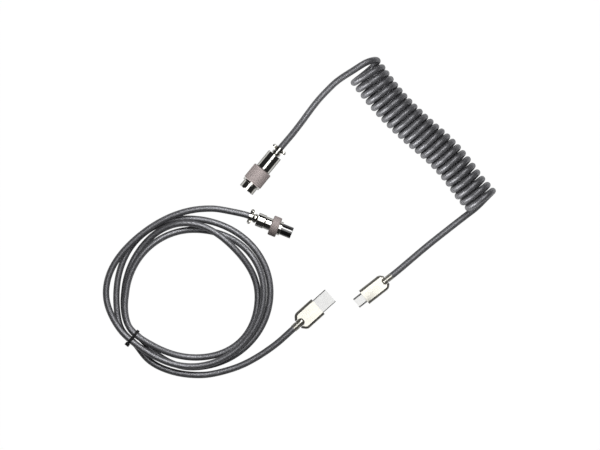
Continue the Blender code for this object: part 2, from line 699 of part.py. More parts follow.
def add_backshell(name, parent, dia, length, groove=()):
    """A barrel, grooved or plain, that ends in a neck and the lower half of the cable clamp."""
    radius = dia / 2
    core = CORE_DIA / 2
    neck = NECK_DIA / 2
    profile = [
        (-SEAT_GAP, radius - BARREL_WALL), (-SEAT_GAP, radius - BARREL_EDGE),
        (-SEAT_GAP - BARREL_EDGE, radius), *groove,
        (BARREL_EDGE - length, radius), (-length, radius - BARREL_EDGE), (-length, neck),
        (-length - NECK_LENGTH, neck), (-length - NECK_LENGTH, core),
        (BARREL_END_WALL - length, core), (BARREL_END_WALL - length, radius - BARREL_WALL),
    ]
    shell = add_mesh(name + "_backshell", spun(profile, ROUND_SIDES), parent, "chrome")
    middle = clamp_place(length)
    jaw = clamp_mesh(middle, -1, middle + CLAMP_LENGTH / 2)
    combine(shell, add_tool(name + "_clamp_jaw", jaw, parent), "UNION")
    cut_screw_holes(shell, name + "_jaw", middle, parent)


def pole_places():
    """The places of the poles across a round connector, as (y, z)."""
    radius = POLE_CIRCLE_DIA / 2
    turns = [math.radians(45.0 + 360.0 * k / POLE_COUNT) for k in range(POLE_COUNT)]
    return [(radius * math.cos(turn), radius * math.sin(turn)) for turn in turns]


def spigot_dia(barrel_dia):
    """The outside of a spigot that fits a barrel's bore."""
    return barrel_dia - 2 * (BARREL_WALL + SEAT_GAP)


def add_plug(place):
    """The round plug: backshell, clamp, front shell, clip, nut, insert and sockets."""
    add_backshell("plug", place, PLUG_BARREL_DIA, PLUG_BARREL_LENGTH)
    add_clamp("plug", place, PLUG_BARREL_LENGTH)
    web = PLUG_NUT_PLACE + NUT_COUNTERBORE
    cavity = web + NUT_WEB
    flange = cavity + RUN_GAP
    flange_end = flange + PLUG_FLANGE_THICKNESS
    stem_bore = PLUG_STEM_DIA / 2 + SEAT_GAP
    stem_front = flange_end + SEAT_GAP
    stem_rear = stem_front - PLUG_STEM_LENGTH
    spigot = spigot_dia(PLUG_BARREL_DIA) / 2
    profile = [
        (-SPIGOT_LENGTH, spigot - SPIGOT_WALL), (-SPIGOT_LENGTH, spigot), (0.0, spigot),
        (0.0, PLUG_FRONT_DIA / 2), (flange, PLUG_FRONT_DIA / 2), (flange, PLUG_FLANGE_DIA / 2),
        (flange_end, PLUG_FLANGE_DIA / 2), (flange_end, PLUG_RING_DIA / 2),
        (PLUG_RING_PLACE, PLUG_RING_DIA / 2), (PLUG_RING_PLACE, PLUG_INSERT_DIA / 2 + SEAT_GAP),
        (flange_end, PLUG_INSERT_DIA / 2 + SEAT_GAP), (flange_end, stem_bore),
        (stem_rear - SEAT_GAP, stem_bore), (stem_rear - SEAT_GAP, spigot - SPIGOT_WALL),
    ]
    add_mesh("plug_front_shell", spun(profile, ROUND_SIDES), place, "chrome")
    clip = PLUG_FRONT_DIA / 2 + SEAT_GAP
    clip_front = web - SEAT_GAP
    profile = [
        (clip_front - CLIP_THICKNESS, clip), (clip_front - CLIP_THICKNESS, clip + CLIP_WALL),
        (clip_front, clip + CLIP_WALL), (clip_front, clip),
    ]
    add_mesh("plug_retaining_clip", spun(profile, ROUND_SIDES), place, "chrome")
    add_coupling_nut(place, web, cavity)
    tip = PLUG_RING_PLACE + PLUG_INSERT_REACH
    profile = [
        (stem_rear, 0.0), (stem_rear, PLUG_STEM_DIA / 2), (stem_front, PLUG_STEM_DIA / 2),
        (stem_front, PLUG_INSERT_DIA / 2), (tip, PLUG_INSERT_DIA / 2), (tip, 0.0),
    ]
    insert = add_mesh("plug_insert", spun(profile, ROUND_SIDES), place, "black")
    rear = stem_rear - CUT_PAST
    for number, (y, z) in enumerate(pole_places(), start=1):
        hole = shift(rod(rear - CUT_PAST, tip + CUT_PAST, SOCKET_DIA + 2 * SEAT_GAP), y, z)
        combine(insert, add_tool(f"plug_pole_hole_{number}", hole, place), "DIFFERENCE")
        bore = PIN_DIA / 2 + CONTACT_GAP / 2
        profile = [
            (rear, 0.0), (rear, SOCKET_DIA / 2), (tip - SEAT_GAP, SOCKET_DIA / 2), (tip - SEAT_GAP, bore),
            (tip - SEAT_GAP - SOCKET_BORE_DEPTH, bore), (tip - SEAT_GAP - SOCKET_BORE_DEPTH, 0.0),
        ]
        add_mesh(f"plug_contact_{number}", shift(spun(profile, SMALL_SIDES), y, z), place, "brass")


def add_coupling_nut(place, web, cavity):
    """The nut that turns on the plug's front shell and screws onto the socket's thread."""
    front = PLUG_NUT_PLACE + NUT_LENGTH
    bore = PLUG_FRONT_DIA / 2 + RUN_GAP
    mouth = THREAD_DIA / 2 + NUT_THREAD_PLAY
    recess = PLUG_FRONT_DIA / 2 + 2 * SEAT_GAP + CLIP_WALL
    profile = [
        (PLUG_NUT_PLACE, recess), (PLUG_NUT_PLACE, GRIP_DIA / 2 - GRIP_EDGE),
        (PLUG_NUT_PLACE + GRIP_EDGE, GRIP_DIA / 2), (front - GRIP_EDGE, GRIP_DIA / 2),
        (front, GRIP_DIA / 2 - GRIP_EDGE), (front, mouth), (cavity, mouth), (cavity, bore),
        (web, bore), (web, recess),
    ]
    add_mesh("coupling_nut", spun(profile, ROUND_SIDES), place, "satin")


def add_socket(place):
    """The round socket: backshell, clamp, sleeve, threaded tube, insulator and pins."""
    lip = SOCKET_BARREL_DIA / 2
    groove = [
        (SOCKET_GROOVE_WIDTH / 2 - SOCKET_GROOVE_PLACE, lip),
        (-SOCKET_GROOVE_PLACE, lip - SOCKET_GROOVE_DEPTH),
        (-SOCKET_GROOVE_WIDTH / 2 - SOCKET_GROOVE_PLACE, lip),
    ]
    add_backshell("socket", place, SOCKET_BARREL_DIA, SOCKET_BARREL_LENGTH, groove)
    add_clamp("socket", place, SOCKET_BARREL_LENGTH)
    body = THREAD_DIA / 2 - TUBE_PLAY
    sleeve_bore = body + SEAT_GAP
    profile = [
        (0.0, sleeve_bore), (0.0, GRIP_DIA / 2 - GRIP_EDGE), (GRIP_EDGE, GRIP_DIA / 2),
        (SLEEVE_LENGTH - GRIP_EDGE, GRIP_DIA / 2), (SLEEVE_LENGTH, GRIP_DIA / 2 - GRIP_EDGE),
        (SLEEVE_LENGTH, sleeve_bore),
    ]
    add_mesh("socket_sleeve", spun(profile, ROUND_SIDES), place, "satin")
    shoulder = SLEEVE_LENGTH + SEAT_GAP
    flange_end = shoulder + SOCKET_FLANGE_THICKNESS
    rim = SLEEVE_LENGTH + TUBE_REACH
    mouth = THREAD_DIA / 2 - TUBE_WALL
    cavity = body - TUBE_BODY_WALL - TUBE_PLAY
    spigot = spigot_dia(SOCKET_BARREL_DIA) / 2
    profile = [
        (-SPIGOT_LENGTH, spigot - SPIGOT_WALL), (-SPIGOT_LENGTH, spigot), (0.0, spigot), (0.0, body),
        (shoulder, body), (shoulder, SOCKET_FLANGE_DIA / 2), (flange_end, SOCKET_FLANGE_DIA / 2),
        (flange_end, THREAD_DIA / 2), (rim - BARREL_EDGE, THREAD_DIA / 2),
        (rim, THREAD_DIA / 2 - BARREL_EDGE / 2), (rim, mouth), (shoulder, mouth), (shoulder, cavity),
        (TUBE_FLOOR, cavity), (TUBE_FLOOR, spigot - SPIGOT_WALL),
    ]
    add_mesh("socket_tube", spun(profile, ROUND_SIDES), place, "chrome")
    block = cavity - SEAT_GAP
    face = TUBE_FLOOR + SEAT_GAP + INSULATOR_LENGTH
    bm = rod(TUBE_FLOOR + SEAT_GAP, face, 2 * block, ROUND_SIDES)
    insulator = add_mesh("socket_insulator", bm, place, "black")
    tail = TUBE_FLOOR - PIN_TAIL
    for number, (y, z) in enumerate(pole_places(), start=1):
        hole = shift(rod(tail, face + CUT_PAST, PIN_DIA + 2 * SEAT_GAP), y, z)
        combine(insulator, add_tool(f"socket_pole_hole_{number}", hole, place), "DIFFERENCE")
        pin = shift(rod(tail, rim - PIN_SETBACK, PIN_DIA), y, z)
        add_mesh(f"socket_pin_{number}", pin, place, "brass")


# Cable


def eased(share):
    """A share of a change that starts and ends gently."""
    share = min(1.0, max(0.0, share))
    return share * share * (3.0 - 2.0 * share)


def smooth_route(points, spacing):
    """Points along a smooth curve through the given points, between a straight first and last run."""
    points = [Vector(point) for point in points]
    fine = []
    for a, b, c, d in zip(points, points[1:], points[2:], points[3:]):
        for k in range(ROUTE_STEPS):
            t = k / ROUTE_STEPS
            fine.append(0.5 * (2 * b + (c - a) * t + (2 * a - 5 * b + 4 * c - d) * t * t
                               + (3 * b - a - 3 * c + d) * t ** 3))
    fine.append(points[-2])
    lengths = [0.0]
    for a, b in zip(fine, fine[1:]):
        lengths.append(lengths[-1] + (b - a).length)
    count = max(2, round(lengths[-1] / spacing))
    route = [points[0]]
    k = 0
    for step in range(count + 1):
        target = lengths[-1] * step / count
        while k < len(fine) - 2 and lengths[k + 1] < target:
            k += 1
        share = (target - lengths[k]) / (lengths[k + 1] - lengths[k])
        route.append(fine[k].lerp(fine[k + 1], min(1.0, share)))
    return route + [points[-1]]


def add_cord(name, points, resolution):
    """A closed round tube of cable through points in millimetres."""
    curve = bpy.data.curves.new(name, "CURVE")
    curve.dimensions = "3D"
    curve.bevel_depth = CABLE_DIA / 2 * MM
    curve.bevel_resolution = resolution
    curve.use_fill_caps = True
    spline = curve.splines.new("POLY")
    spline.points.add(len(points) - 1)
    for place, point in zip(spline.points, points):
        place.co = (point[0] * MM, point[1] * MM, point[2] * MM, 1.0)
    spline.use_smooth = True
    obj = bpy.data.objects.new(name, curve)
    bpy.context.collection.objects.link(obj)
    finish_object(obj, "braid")


def side_point(turn):
    """Where the cable passes one side of the loops."""
    side, reach, along = turn[:3]
    x, y = LOOP_CENTRE
    if side in ("top", "bottom"):
        return Vector((x + along, y + (reach if side == "top" else -reach), turn[3]))
    return Vector((x + (reach if side == "right" else -reach), y + along, turn[3]))


def quarter_turn(turn, following):
    """A quarter of an ellipse from one side of the loops to the next, flattened a little."""
    side, flatness = turn[0], turn[4]
    begin, end = turn[5]
    a = side_point(turn)
    b = side_point(following)
    centre = Vector((a.x, b.y)) if side in ("top", "bottom") else Vector((b.x, a.y))
    count = TIE_QUARTER_POINTS if side == "left" else QUARTER_POINTS
    points = []
    for k in range(count):
        share = k / count
        angle = share * math.pi / 2
        shrink = 1.0 - flatness * math.sin(2 * angle) ** 2
        flat = centre + shrink * (math.cos(angle) * (a.xy - centre) + math.sin(angle) * (b.xy - centre))
        height = a.z + (b.z - a.z) * eased((share - begin) / (end - begin))
        points.append(Vector((flat.x, flat.y, height)))
    return points


def tie_middle():
    """The middle of the tied bundle."""
    lift = TIE_THICKNESS + SEAT_GAP
    height = LOW_STRAND + lift + STRAND_PITCH / 2
    return Vector((LOOP_CENTRE[0] + TIE_OFFSET[0], LOOP_CENTRE[1] + TIE_OFFSET[1], height))


def drawn_to_tie(points, slot):
    """A run past the tie, drawn into its place in the bundle."""
    row, level = slot
    heading = math.radians(TIE_HEADING)
    along_tie = Vector((math.cos(heading), math.sin(heading), 0.0))
    across = Vector((-along_tie.y, along_tie.x, 0.0))
    middle = tie_middle()
    held = middle + across * row * STRAND_PITCH / 2 + Vector((0.0, 0.0, (level - 0.5) * STRAND_PITCH))
    drawn = []
    for point in points:
        along = (point - middle).dot(along_tie)
        pull = math.exp(-(along / TIE_PULL_LENGTH) ** 2)
        drawn.append(point.lerp(held + along_tie * along, pull))
    return drawn


def loop_points():
    """The looped stretch of the host cable, with straight ends."""
    points = []
    slots = iter(TIE_SLOTS)
    for turn, following in zip(LOOP_PASSES, LOOP_PASSES[1:]):
        run = quarter_turn(turn, following)
        if turn[0] == "left":
            run = drawn_to_tie(run, next(slots))
        points += run
    last = side_point(LOOP_PASSES[-1])
    straight = Vector((CABLE_DIA, 0.0, 0.0))
    return [points[0] + straight] + points + [last, last + straight]


def coil_frame():
    """The coil's start, its direction along the surface and the direction to its outer side."""
    x, y, heading = COIL_PLACE
    turn = math.radians(heading)
    along = Vector((math.cos(turn), math.sin(turn), 0.0))
    outer = Vector((-along.y, along.x, 0.0))
    return Vector((x, y, COIL_OUTER_DIA / 2 + COIL_REST)), along, outer


def coil_point(turns):
    """The point so many turns on, as its places along the axis, to the outer side and up."""
    place = turns * COIL_LENGTH / COIL_TURNS
    share = min(1.0, max(0.0, turns / COIL_TURNS))
    phase = min(1.0, max(share, 0.5 + 0.5 * (share - 0.5) / (COIL_BOW_END - 0.5)))
    radius = (COIL_OUTER_DIA - CABLE_DIA) / 2
    wide = radius + COIL_SWELL * math.exp(-COIL_LENGTH * share / COIL_SWELL_LENGTH)
    lean = COIL_FIRST_LEAN * math.exp(-COIL_LENGTH * share / COIL_LEAN_LENGTH)
    lean -= COIL_BACK_LEAN * math.sin(math.pi * share)
    angle = -2.0 * math.pi * turns
    place -= COIL_LEAD_IN * eased(-turns / COIL_EXTRA_TURN)
    place -= COIL_LAG * math.sin(math.pi * share * share) ** 2
    place += lean / 2 * eased(turns + COIL_LEAN_START) * math.cos(angle)
    bow = -COIL_BOW * math.sin(2.0 * math.pi * phase)
    return place, bow + wide * math.cos(angle), radius * math.sin(angle)


def coil_points():
    """A left-handed helix round a slightly bowed axis, coming in over the top and leaving underneath."""
    start, along, outer = coil_frame()
    points = []
    extra = int(COIL_EXTRA_TURN * CURL_POINTS)
    stations = [k / CURL_POINTS for k in range(-extra, COIL_TURNS * CURL_POINTS + extra + 1)]
    for turns in [-COIL_EXTRA_TURN] + stations + [COIL_TURNS + COIL_EXTRA_TURN]:
        place, side, up = coil_point(turns)
        points.append(start + along * place + outer * side + Vector((0.0, 0.0, up)))
    first = points[0] - points[1]
    last = points[-1] - points[-2]
    first.z = 0.0
    last.z = 0.0
    head = points[0] + first.normalized() * CABLE_DIA
    tail = points[-1] + last.normalized() * CABLE_DIA
    return [head] + points + [tail]


def least_gap(points, apart):
    """The least gap between stretches of one tube that lie at least so far apart along it."""
    fine = []
    for a, b in zip(points, points[1:]):
        for k in range(GAP_STEPS):
            fine.append(a.lerp(b, k / GAP_STEPS))
    fine.append(points[-1])
    places = [0.0]
    for a, b in zip(fine, fine[1:]):
        places.append(places[-1] + (b - a).length)
    least = math.inf
    for i, a in enumerate(fine):
        for j in range(i + 1, len(fine)):
            if places[j] - places[i] > apart:
                least = min(least, (fine[j] - a).length)
    return least - CABLE_DIA


def gap_before(points):
    """A point just short of a tube's start, and one further back along its straight end."""
    back = (points[0] - points[1]).normalized()
    return points[0] + back * SEAT_GAP, points[0] + back * (SEAT_GAP + CABLE_DIA)


def add_cables(heights):
    """The loops, the coil and the four free stretches of cable."""
    loops = loop_points()
    coil = coil_points()
    print("least gap in the loops, mm:", round(least_gap(loops, LOOPS_APART), 2))
    print("least gap in the coil, mm:", round(least_gap(coil, CURLS_APART), 2))
    add_cord("host_loops", loops, WOUND_RESOLUTION)
    add_cord("coil", coil, WOUND_RESOLUTION)
    ends = {
        "plug": (PLUG_PLACE, cable_end(PLUG_BARREL_LENGTH), gap_before(loops), PLUG_LEAD_VIA),
        "usb_a": (USB_A_PLACE, -USB_A_CASE_LENGTH - USB_A_COLLAR_REACH - SEAT_GAP,
                  gap_before(loops[::-1]), USB_A_LEAD_VIA[::-1]),
        "socket": (SOCKET_PLACE, cable_end(SOCKET_BARREL_LENGTH), gap_before(coil), SOCKET_LEAD_VIA),
        "usb_c": (USB_C_PLACE, -USB_C_CASE_LENGTH - USB_C_COLLAR_REACH - SEAT_GAP,
                  gap_before(coil[::-1]), USB_C_LEAD_VIA[::-1]),
    }
    for name, (place, reach, (join, beyond), via) in ends.items():
        straight = reach - CABLE_DIA
        route = [on_axis(place, heights[name], reach), on_axis(place, heights[name], straight)]
        route += [Vector(point) for point in via] + [beyond, join]
        add_cord(name + "_lead", smooth_route(route, LEAD_SPACING), LEAD_RESOLUTION)


def add_tie():
    """The cable tie: a strap round the bundle with its locking head on the outer side."""
    inner = STRAND_PITCH + CABLE_DIA + 2 * SEAT_GAP
    outer = inner + 2 * TIE_THICKNESS
    place = add_place("tie_middle", (tie_middle().x, tie_middle().y, TIE_HEADING), tie_middle().z)
    strap = sleeve_mesh(rounded_box(outer, outer, TIE_ROUND + TIE_THICKNESS),
                        rounded_box(inner, inner, TIE_ROUND), -TIE_WIDTH / 2, TIE_WIDTH / 2)
    tie = add_mesh("cable_tie", strap, place, "black")
    side = -inner / 2 - TIE_THICKNESS / 2
    head = box_outline((side - TIE_HEAD_DEPTH, -TIE_HEAD_SIZE / 2), (side, TIE_HEAD_SIZE / 2))
    bm = extruded(head, -TIE_HEAD_SIZE / 2, TIE_HEAD_SIZE / 2)
    combine(tie, add_tool("tie_head", bm, place), "UNION")


def main():
    clear_scene()
    heights = {
        "plug": GRIP_DIA / 2, "socket": GRIP_DIA / 2,
        "usb_a": usb_a_height() / 2, "usb_c": usb_c_height() / 2,
    }
    add_plug(add_place("plug_axis", PLUG_PLACE, heights["plug"]))
    add_socket(add_place("socket_axis", SOCKET_PLACE, heights["socket"]))
    add_usb_a(add_place("usb_a_axis", USB_A_PLACE, heights["usb_a"]))
    add_usb_c(add_place("usb_c_axis", USB_C_PLACE, heights["usb_c"]))
    add_cables(heights)
    add_tie()


main()
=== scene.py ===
"""Looks of a detachable coiled keyboard cable: two halves of braided cable with metal connectors.

Lengths are in millimetres and become metres where a mesh is made. The routes repeat those of the solids.
"""
import json
import math

import bmesh
import bpy
from mathutils import Matrix, Vector
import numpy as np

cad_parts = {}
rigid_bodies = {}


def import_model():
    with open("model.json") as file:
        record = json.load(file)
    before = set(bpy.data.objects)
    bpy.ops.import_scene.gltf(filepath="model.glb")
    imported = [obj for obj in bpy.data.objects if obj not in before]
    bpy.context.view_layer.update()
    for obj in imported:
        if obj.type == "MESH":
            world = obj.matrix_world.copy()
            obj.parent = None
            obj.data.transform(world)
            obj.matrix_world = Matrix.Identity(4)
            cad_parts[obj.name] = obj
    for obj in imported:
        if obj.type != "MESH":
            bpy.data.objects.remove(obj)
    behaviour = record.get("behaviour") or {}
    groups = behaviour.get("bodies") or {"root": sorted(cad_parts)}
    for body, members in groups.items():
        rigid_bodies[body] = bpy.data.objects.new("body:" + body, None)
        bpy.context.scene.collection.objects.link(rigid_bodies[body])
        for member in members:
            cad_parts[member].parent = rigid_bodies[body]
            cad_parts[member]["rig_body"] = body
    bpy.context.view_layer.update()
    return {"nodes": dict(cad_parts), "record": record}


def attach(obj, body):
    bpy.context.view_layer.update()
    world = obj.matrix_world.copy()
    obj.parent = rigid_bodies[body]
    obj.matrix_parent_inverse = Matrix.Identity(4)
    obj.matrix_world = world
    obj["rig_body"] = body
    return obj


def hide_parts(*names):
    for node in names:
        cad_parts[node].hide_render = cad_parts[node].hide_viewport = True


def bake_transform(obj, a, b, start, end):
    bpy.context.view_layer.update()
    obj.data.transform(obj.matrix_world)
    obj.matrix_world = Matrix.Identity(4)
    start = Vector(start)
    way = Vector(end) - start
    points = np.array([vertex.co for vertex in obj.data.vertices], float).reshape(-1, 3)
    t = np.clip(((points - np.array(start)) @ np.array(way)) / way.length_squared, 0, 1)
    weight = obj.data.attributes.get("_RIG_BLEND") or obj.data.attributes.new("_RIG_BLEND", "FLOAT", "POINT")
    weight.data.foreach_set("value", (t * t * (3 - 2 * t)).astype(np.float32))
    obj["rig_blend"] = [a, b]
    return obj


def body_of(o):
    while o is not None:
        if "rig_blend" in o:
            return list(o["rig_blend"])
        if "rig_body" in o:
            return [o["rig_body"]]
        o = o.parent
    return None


MM = 0.001

# View: the middle of the picture on the surface, the camera's height and the width that it sees there
VIEW_MIDDLE = (-12.43, 9.53)
VIEW_HEIGHT = 1500.0
VIEW_WIDTH = 446.6
SENSOR_WIDTH = 36.0
# How far the camera sees, in metres
VIEW_REACH = 30.0

# Soft lamps: the directions that they stand in, and how far off in metres
OVERHEAD = (0.05, 0.08, 1.0)
ABOVE_RIGHT = (0.34, 0.74, 1.15)
BELOW_LEFT = (-0.60, -0.72, 1.0)
LOW_LEFT = (-0.80, -0.55, 0.34)
LAMP_DISTANCE = 1.62
# Each lamp's direction, width in metres, power in watts, and the half that it lights if not all
LAMPS = {
    "overhead": (OVERHEAD, 0.90, 5.4, None),
    "host_lamp": (ABOVE_RIGHT, 0.70, 20.0, "host_half"),
    "keyboard_fill": (ABOVE_RIGHT, 0.75, 11.0, "keyboard_half"),
    "keyboard_lamp": (BELOW_LEFT, 0.80, 15.0, "keyboard_half"),
    "keyboard_low": (LOW_LEFT, 0.90, 22.0, "keyboard_half"),
}
ROOM_LIGHT = 0.03

# Floor: half its width and how far it lies under the object, in metres
FLOOR_REACH = 8.0
FLOOR_DROP = 0.00002
# Its colour under the white that the camera sees, its colour for the light it throws back, and that white
FLOOR_SEEN = (0.10, 0.10, 0.10, 1.0)
FLOOR_WHITE = (0.85, 0.85, 0.85, 1.0)
FLOOR_ROUGHNESS = 0.9
FLOOR_GLOW = 0.985
# How it shows in the metal, far off and close by: two distances in metres, and how bright it is at each;
# close by, the dimming is painted shadow where a piece's shadow would lie
FLOOR_FADE = (0.03, 0.20, 0.95, 0.05)
FLOOR_PAINTED_SHADOW = (0.008, 0.026, 0.20, 1.0)

# Braid: yarns round the cable each way, how far along a yarn goes in one turn, filaments in a yarn
BRAID_YARNS = 24
BRAID_TURN = 20.0
BRAID_FILAMENTS = 3
FILAMENT_DEPTH = 0.35
# Its painted shade in the creases between yarns and filaments, its colours under and over the crossings, and
# the flecks on them
BRAID_CREASE_SHADE = (0.018, 0.018, 0.020, 1.0)
DARK_YARN = (0.165, 0.166, 0.177, 1.0)
LIGHT_YARN = (0.345, 0.347, 0.366, 1.0)
FLECK = (0.27, 0.27, 0.284, 1.0)
FLECK_SHARE = 0.40
FLECK_SCALE = 900.0
# The relief heights over which the painted crease shade gives way to the yarn's colour, its surface, and the
# strength and depth of the relief
CREASE_SHADE_RISE = (0.1, 0.7)
BRAID_ROUGHNESS = (0.34, 0.48)
BRAID_METALLIC = 0.7
BRAID_RELIEF = (0.22, 0.00017)

# Metal and plastic: how fine the clouds and the grain are, and how deep the grain is in metres
METAL_CLOUD = 160.0
METAL_GRAIN = 4200.0
METAL_GRAIN_DEPTH = 0.00002
PLASTIC_CLOUD = 220.0
PLASTIC_GRAIN = 2600.0
PLASTIC_GRAIN_DEPTH = 0.00003
# How much the clouds change the colour and the roughness
METAL_DULL = 0.93
METAL_SPREAD = 0.03
PLASTIC_LIGHT = 1.25
PLASTIC_LIFT = 0.002
PLASTIC_SPREAD = 0.05
METALS = {
    "case_metal": {"colour": (0.57, 0.555, 0.50), "roughness": 0.25, "grain": 0.05, "metallic": 0.89},
    "shell_steel": {"colour": (0.415, 0.415, 0.41), "roughness": 0.22, "grain": 0.06, "metallic": 0.82},
    "chrome": {"colour": (0.61, 0.60, 0.565), "roughness": 0.10, "grain": 0.03, "metallic": 1.0},
    "satin_grip": {"colour": (0.41, 0.355, 0.345), "roughness": 0.58, "grain": 0.10, "metallic": 0.40},
    "contact_brass": {"colour": (0.83, 0.62, 0.28), "roughness": 0.22, "grain": 0.04, "metallic": 1.0},
}
PLASTICS = {
    "black_plastic": {"colour": (0.005, 0.005, 0.006), "roughness": 0.12, "grain": 0.15, "shine": 0.9},
    "matt_nylon": {"colour": (0.004, 0.004, 0.005), "roughness": 0.55, "grain": 0.30, "shine": 0.25},
    "white_plastic": {"colour": (0.78, 0.78, 0.76), "roughness": 0.40, "grain": 0.15, "shine": 0.9},
    "board": {"colour": (0.03, 0.16, 0.08), "roughness": 0.35, "grain": 0.15, "shine": 0.9},
}
# Noise: the bands of its values that are used, and its detail
NOISE_CORE = (0.35, 0.65)
NOISE_BAND = (0.3, 0.7)
CLOUD_DETAIL = 3.0
GRAIN_DETAIL = 2.0
# A mix node's two inputs and its result, for numbers and for colours
MIX_SOCKETS = {"FLOAT": (2, 3, 0), "RGBA": (6, 7, 2)}

# Cable
CABLE_DIA = 4.8
TUBE_SIDES = 20
TUBE_STEP = 1.6
ROUTE_STEPS = 24
SMOOTH_ROUNDS = 6
STRAND_PITCH = CABLE_DIA + 0.6
LOW_STRAND = CABLE_DIA / 2 + 0.05
HIGH_STRAND = LOW_STRAND + STRAND_PITCH
QUARTER_POINTS = 30

# Connectors: x, y, heading in degrees and the height of the axis
PLUG = (-38.3, 11.5, -22.2, 7.6)
SOCKET = (-39.9, 50.6, 230.7, 7.6)
USB_A = (0.9, -51.1, 42.0, 3.3)
USB_C = (35.2, -44.2, 218.05, 2.8)
# How far behind its place the cable enters each connector, and how far it goes on inside
PLUG_CABLE_END = -10.0
SOCKET_CABLE_END = -17.8
USB_A_CABLE_END = -24.7
USB_C_CABLE_END = -26.3
CABLE_TUCK = 1.2

# Backshells: the radius and length of each barrel, where it starts, its rounded edge and its bore
PLUG_BARREL = (5.1, 6.3)
SOCKET_BARREL = (5.7, 14.1)
BARREL_FRONT = -0.03
BARREL_EDGE = 0.5
CORE_RADIUS = 1.2
# The groove round the socket's barrel
GROOVE_PLACE = -9.0
GROOVE_WIDTH = 0.5
GROOVE_DEPTH = 0.3
# Necks: length, radius beside the bead and at both ends, then the bead's start, end, radius and edge
NECK_LENGTH = 3.4
NECK_RADIUS = 2.8
NECK_WAISTS = (2.1, 2.5)
NECK_BEAD = (0.6, 2.6, 3.4, 0.6)

# Cable clamps: two halves round the cable, each with two flat ears
CLAMP_LENGTH = 3.4
CLAMP_LAP = 0.4
SADDLE_STEP = 0.7
CLAMP_INNER = CABLE_DIA / 2 + 0.3
CLAMP_OUTER = CLAMP_INNER + 0.6
CLAMP_SPLIT = 0.3
CLAMP_EAR_TOP = 1.3
CLAMP_EAR_TIP = 5.75
CLAMP_EAR_ROUND = 1.55
CLAMP_EAR_EDGE = 0.9
CLAMP_EAR_SLOPE = 0.68
# Their screws: how far apart, the head's seat, rim and top, and the radii of the shank, head and top
SCREW_PITCH = 8.2
SCREW_HEAD = (1.31, 2.15, 2.6)
SCREW_RADII = (0.6, 1.1, 0.5)
# The slot across a screw: its width, its depth and the length of the tool that cuts it
SCREW_SLOT = (0.4, 0.4, 3.0)

# Knurled grips, with the nut's web between its recess and its mouth
GRIP_RADIUS = 7.6
GRIP_EDGE = 0.6
NUT_SPAN = (4.8, 10.9)
NUT_WEB = (5.9, 7.0)
NUT_RECESS = 6.1
NUT_HOLE = 4.9
NUT_MOUTH = 6.2
SLEEVE_SPAN = (0.0, 12.7)
SLEEVE_BORE = 6.05
KNURL_STARTS = 34
KNURL_PITCH = 1.4
KNURL_DEPTH = 0.32
KNURL_SAMPLES = 6

# Plug's front shell: where it starts, its flange, its ring and the ring's rim, then radii and edges
SHELL_PLACES = (0.0, 7.3, 8.3, 13.0)
SHELL_END = 4.0
SHELL_CONE = 0.5
SHELL_RADIUS = 4.6
SHELL_BORE = 3.7
SHELL_FLANGE = (5.7, 0.15)
SHELL_RING = (5.2, 0.25)
SHELL_RING_BORE = 4.55
# Plug's insert: its rear, shoulder and face, its radii behind and before the shoulder, and its edge
INSERT_PLACES = (3.1, 8.6, 21.4)
INSERT_RADII = (3.4, 4.25)
INSERT_EDGE = 0.3
# The pole holes in its face, the first one's turn in degrees, and the length of the tool that cuts them
POLES = 4
POLE_TURN = 45.0
POLE_RADIUS = 2.2
POLE_HOLE_RADIUS = 1.15
POLE_HOLE_SIDES = 32
POLE_TOOL_LENGTH = 30.0

# Socket's tube: its flange, its radii outside and inside, and its fine thread
FLANGE_SPAN = (13.0, 14.2)
FLANGE_RADIUS = 7.0
FLANGE_EDGE = 0.2
TUBE_RIM = 19.6
TUBE_FLOOR = 1.2
TUBE_RADIUS = 5.75
TUBE_MOUTH = 5.2
TUBE_BORE = 4.7
TUBE_HOLE = 3.6
THREAD_RADIUS = 6.0
THREAD_RUNOUT = 0.5
THREAD_PITCH = 0.75
THREAD_DEPTH = 0.12
THREAD_SAMPLES = 6

# USB collars: the rear, the join with the case, the tip of the nose and the radius
USB_A_COLLAR = (-24.4, -19.7, -14.5, 2.75)
USB_C_COLLAR = (-26.0, -21.1, -17.5, 2.45)
COLLAR_EDGE = 0.3
COLLAR_GROOVE = (0.5, 0.4)

# USB cases: the soft edge along the sides and rear, the round rear corners and the flat beside the slot
CASE_EDGE_SLOPE = 0.74
CASE_EDGE_SHAPE = 1.5
CASE_CORNER = 4.0
CASE_HORN = 0.7
# How far the tools for the pocket and the slot reach past the case
CUT_PAST = 1.0
USB_A_CASE = {
    "length": 19.7, "width": 14.9, "height": 6.6, "taper": 2.9, "edge": 1.9,
    "slot": 6.1, "slot_end": -14.2,
    "pocket_depth": 11.8, "pocket_width": 12.6, "pocket_height": 5.1, "pocket_round": 0.9,
}
USB_C_CASE = {
    "length": 21.1, "width": 12.45, "height": 5.6, "taper": 2.4, "edge": 1.8,
    "slot": 5.5, "slot_end": -17.2,
    "pocket_depth": 14.9, "pocket_width": 8.85, "pocket_height": 3.0, "pocket_round": 1.49,
}

# How finely the connectors are made
ROUND_SIDES = 128
SCREW_SIDES = 48
ARC_STEPS = 4
NOSE_STEPS = 10
JAW_STEPS = 14
CORNER_STEPS = 6
CASE_EDGE_STEPS = 8
SUPPORT = 0.08
SHARP = math.radians(38.0)
# How near two places count as one, in a clamp, in a turned piece and after a cut
CLOSE = 0.01
CLOSE_TURNED = 0.0001
CLOSE_CUT = 0.001

# Loops: when a strand climbs or drops in the run to the next side, as a first and a last share of the run
EARLY = (0.0, 0.6)
MIDWAY = (0.3, 0.75)
LATE = (0.5, 1.0)
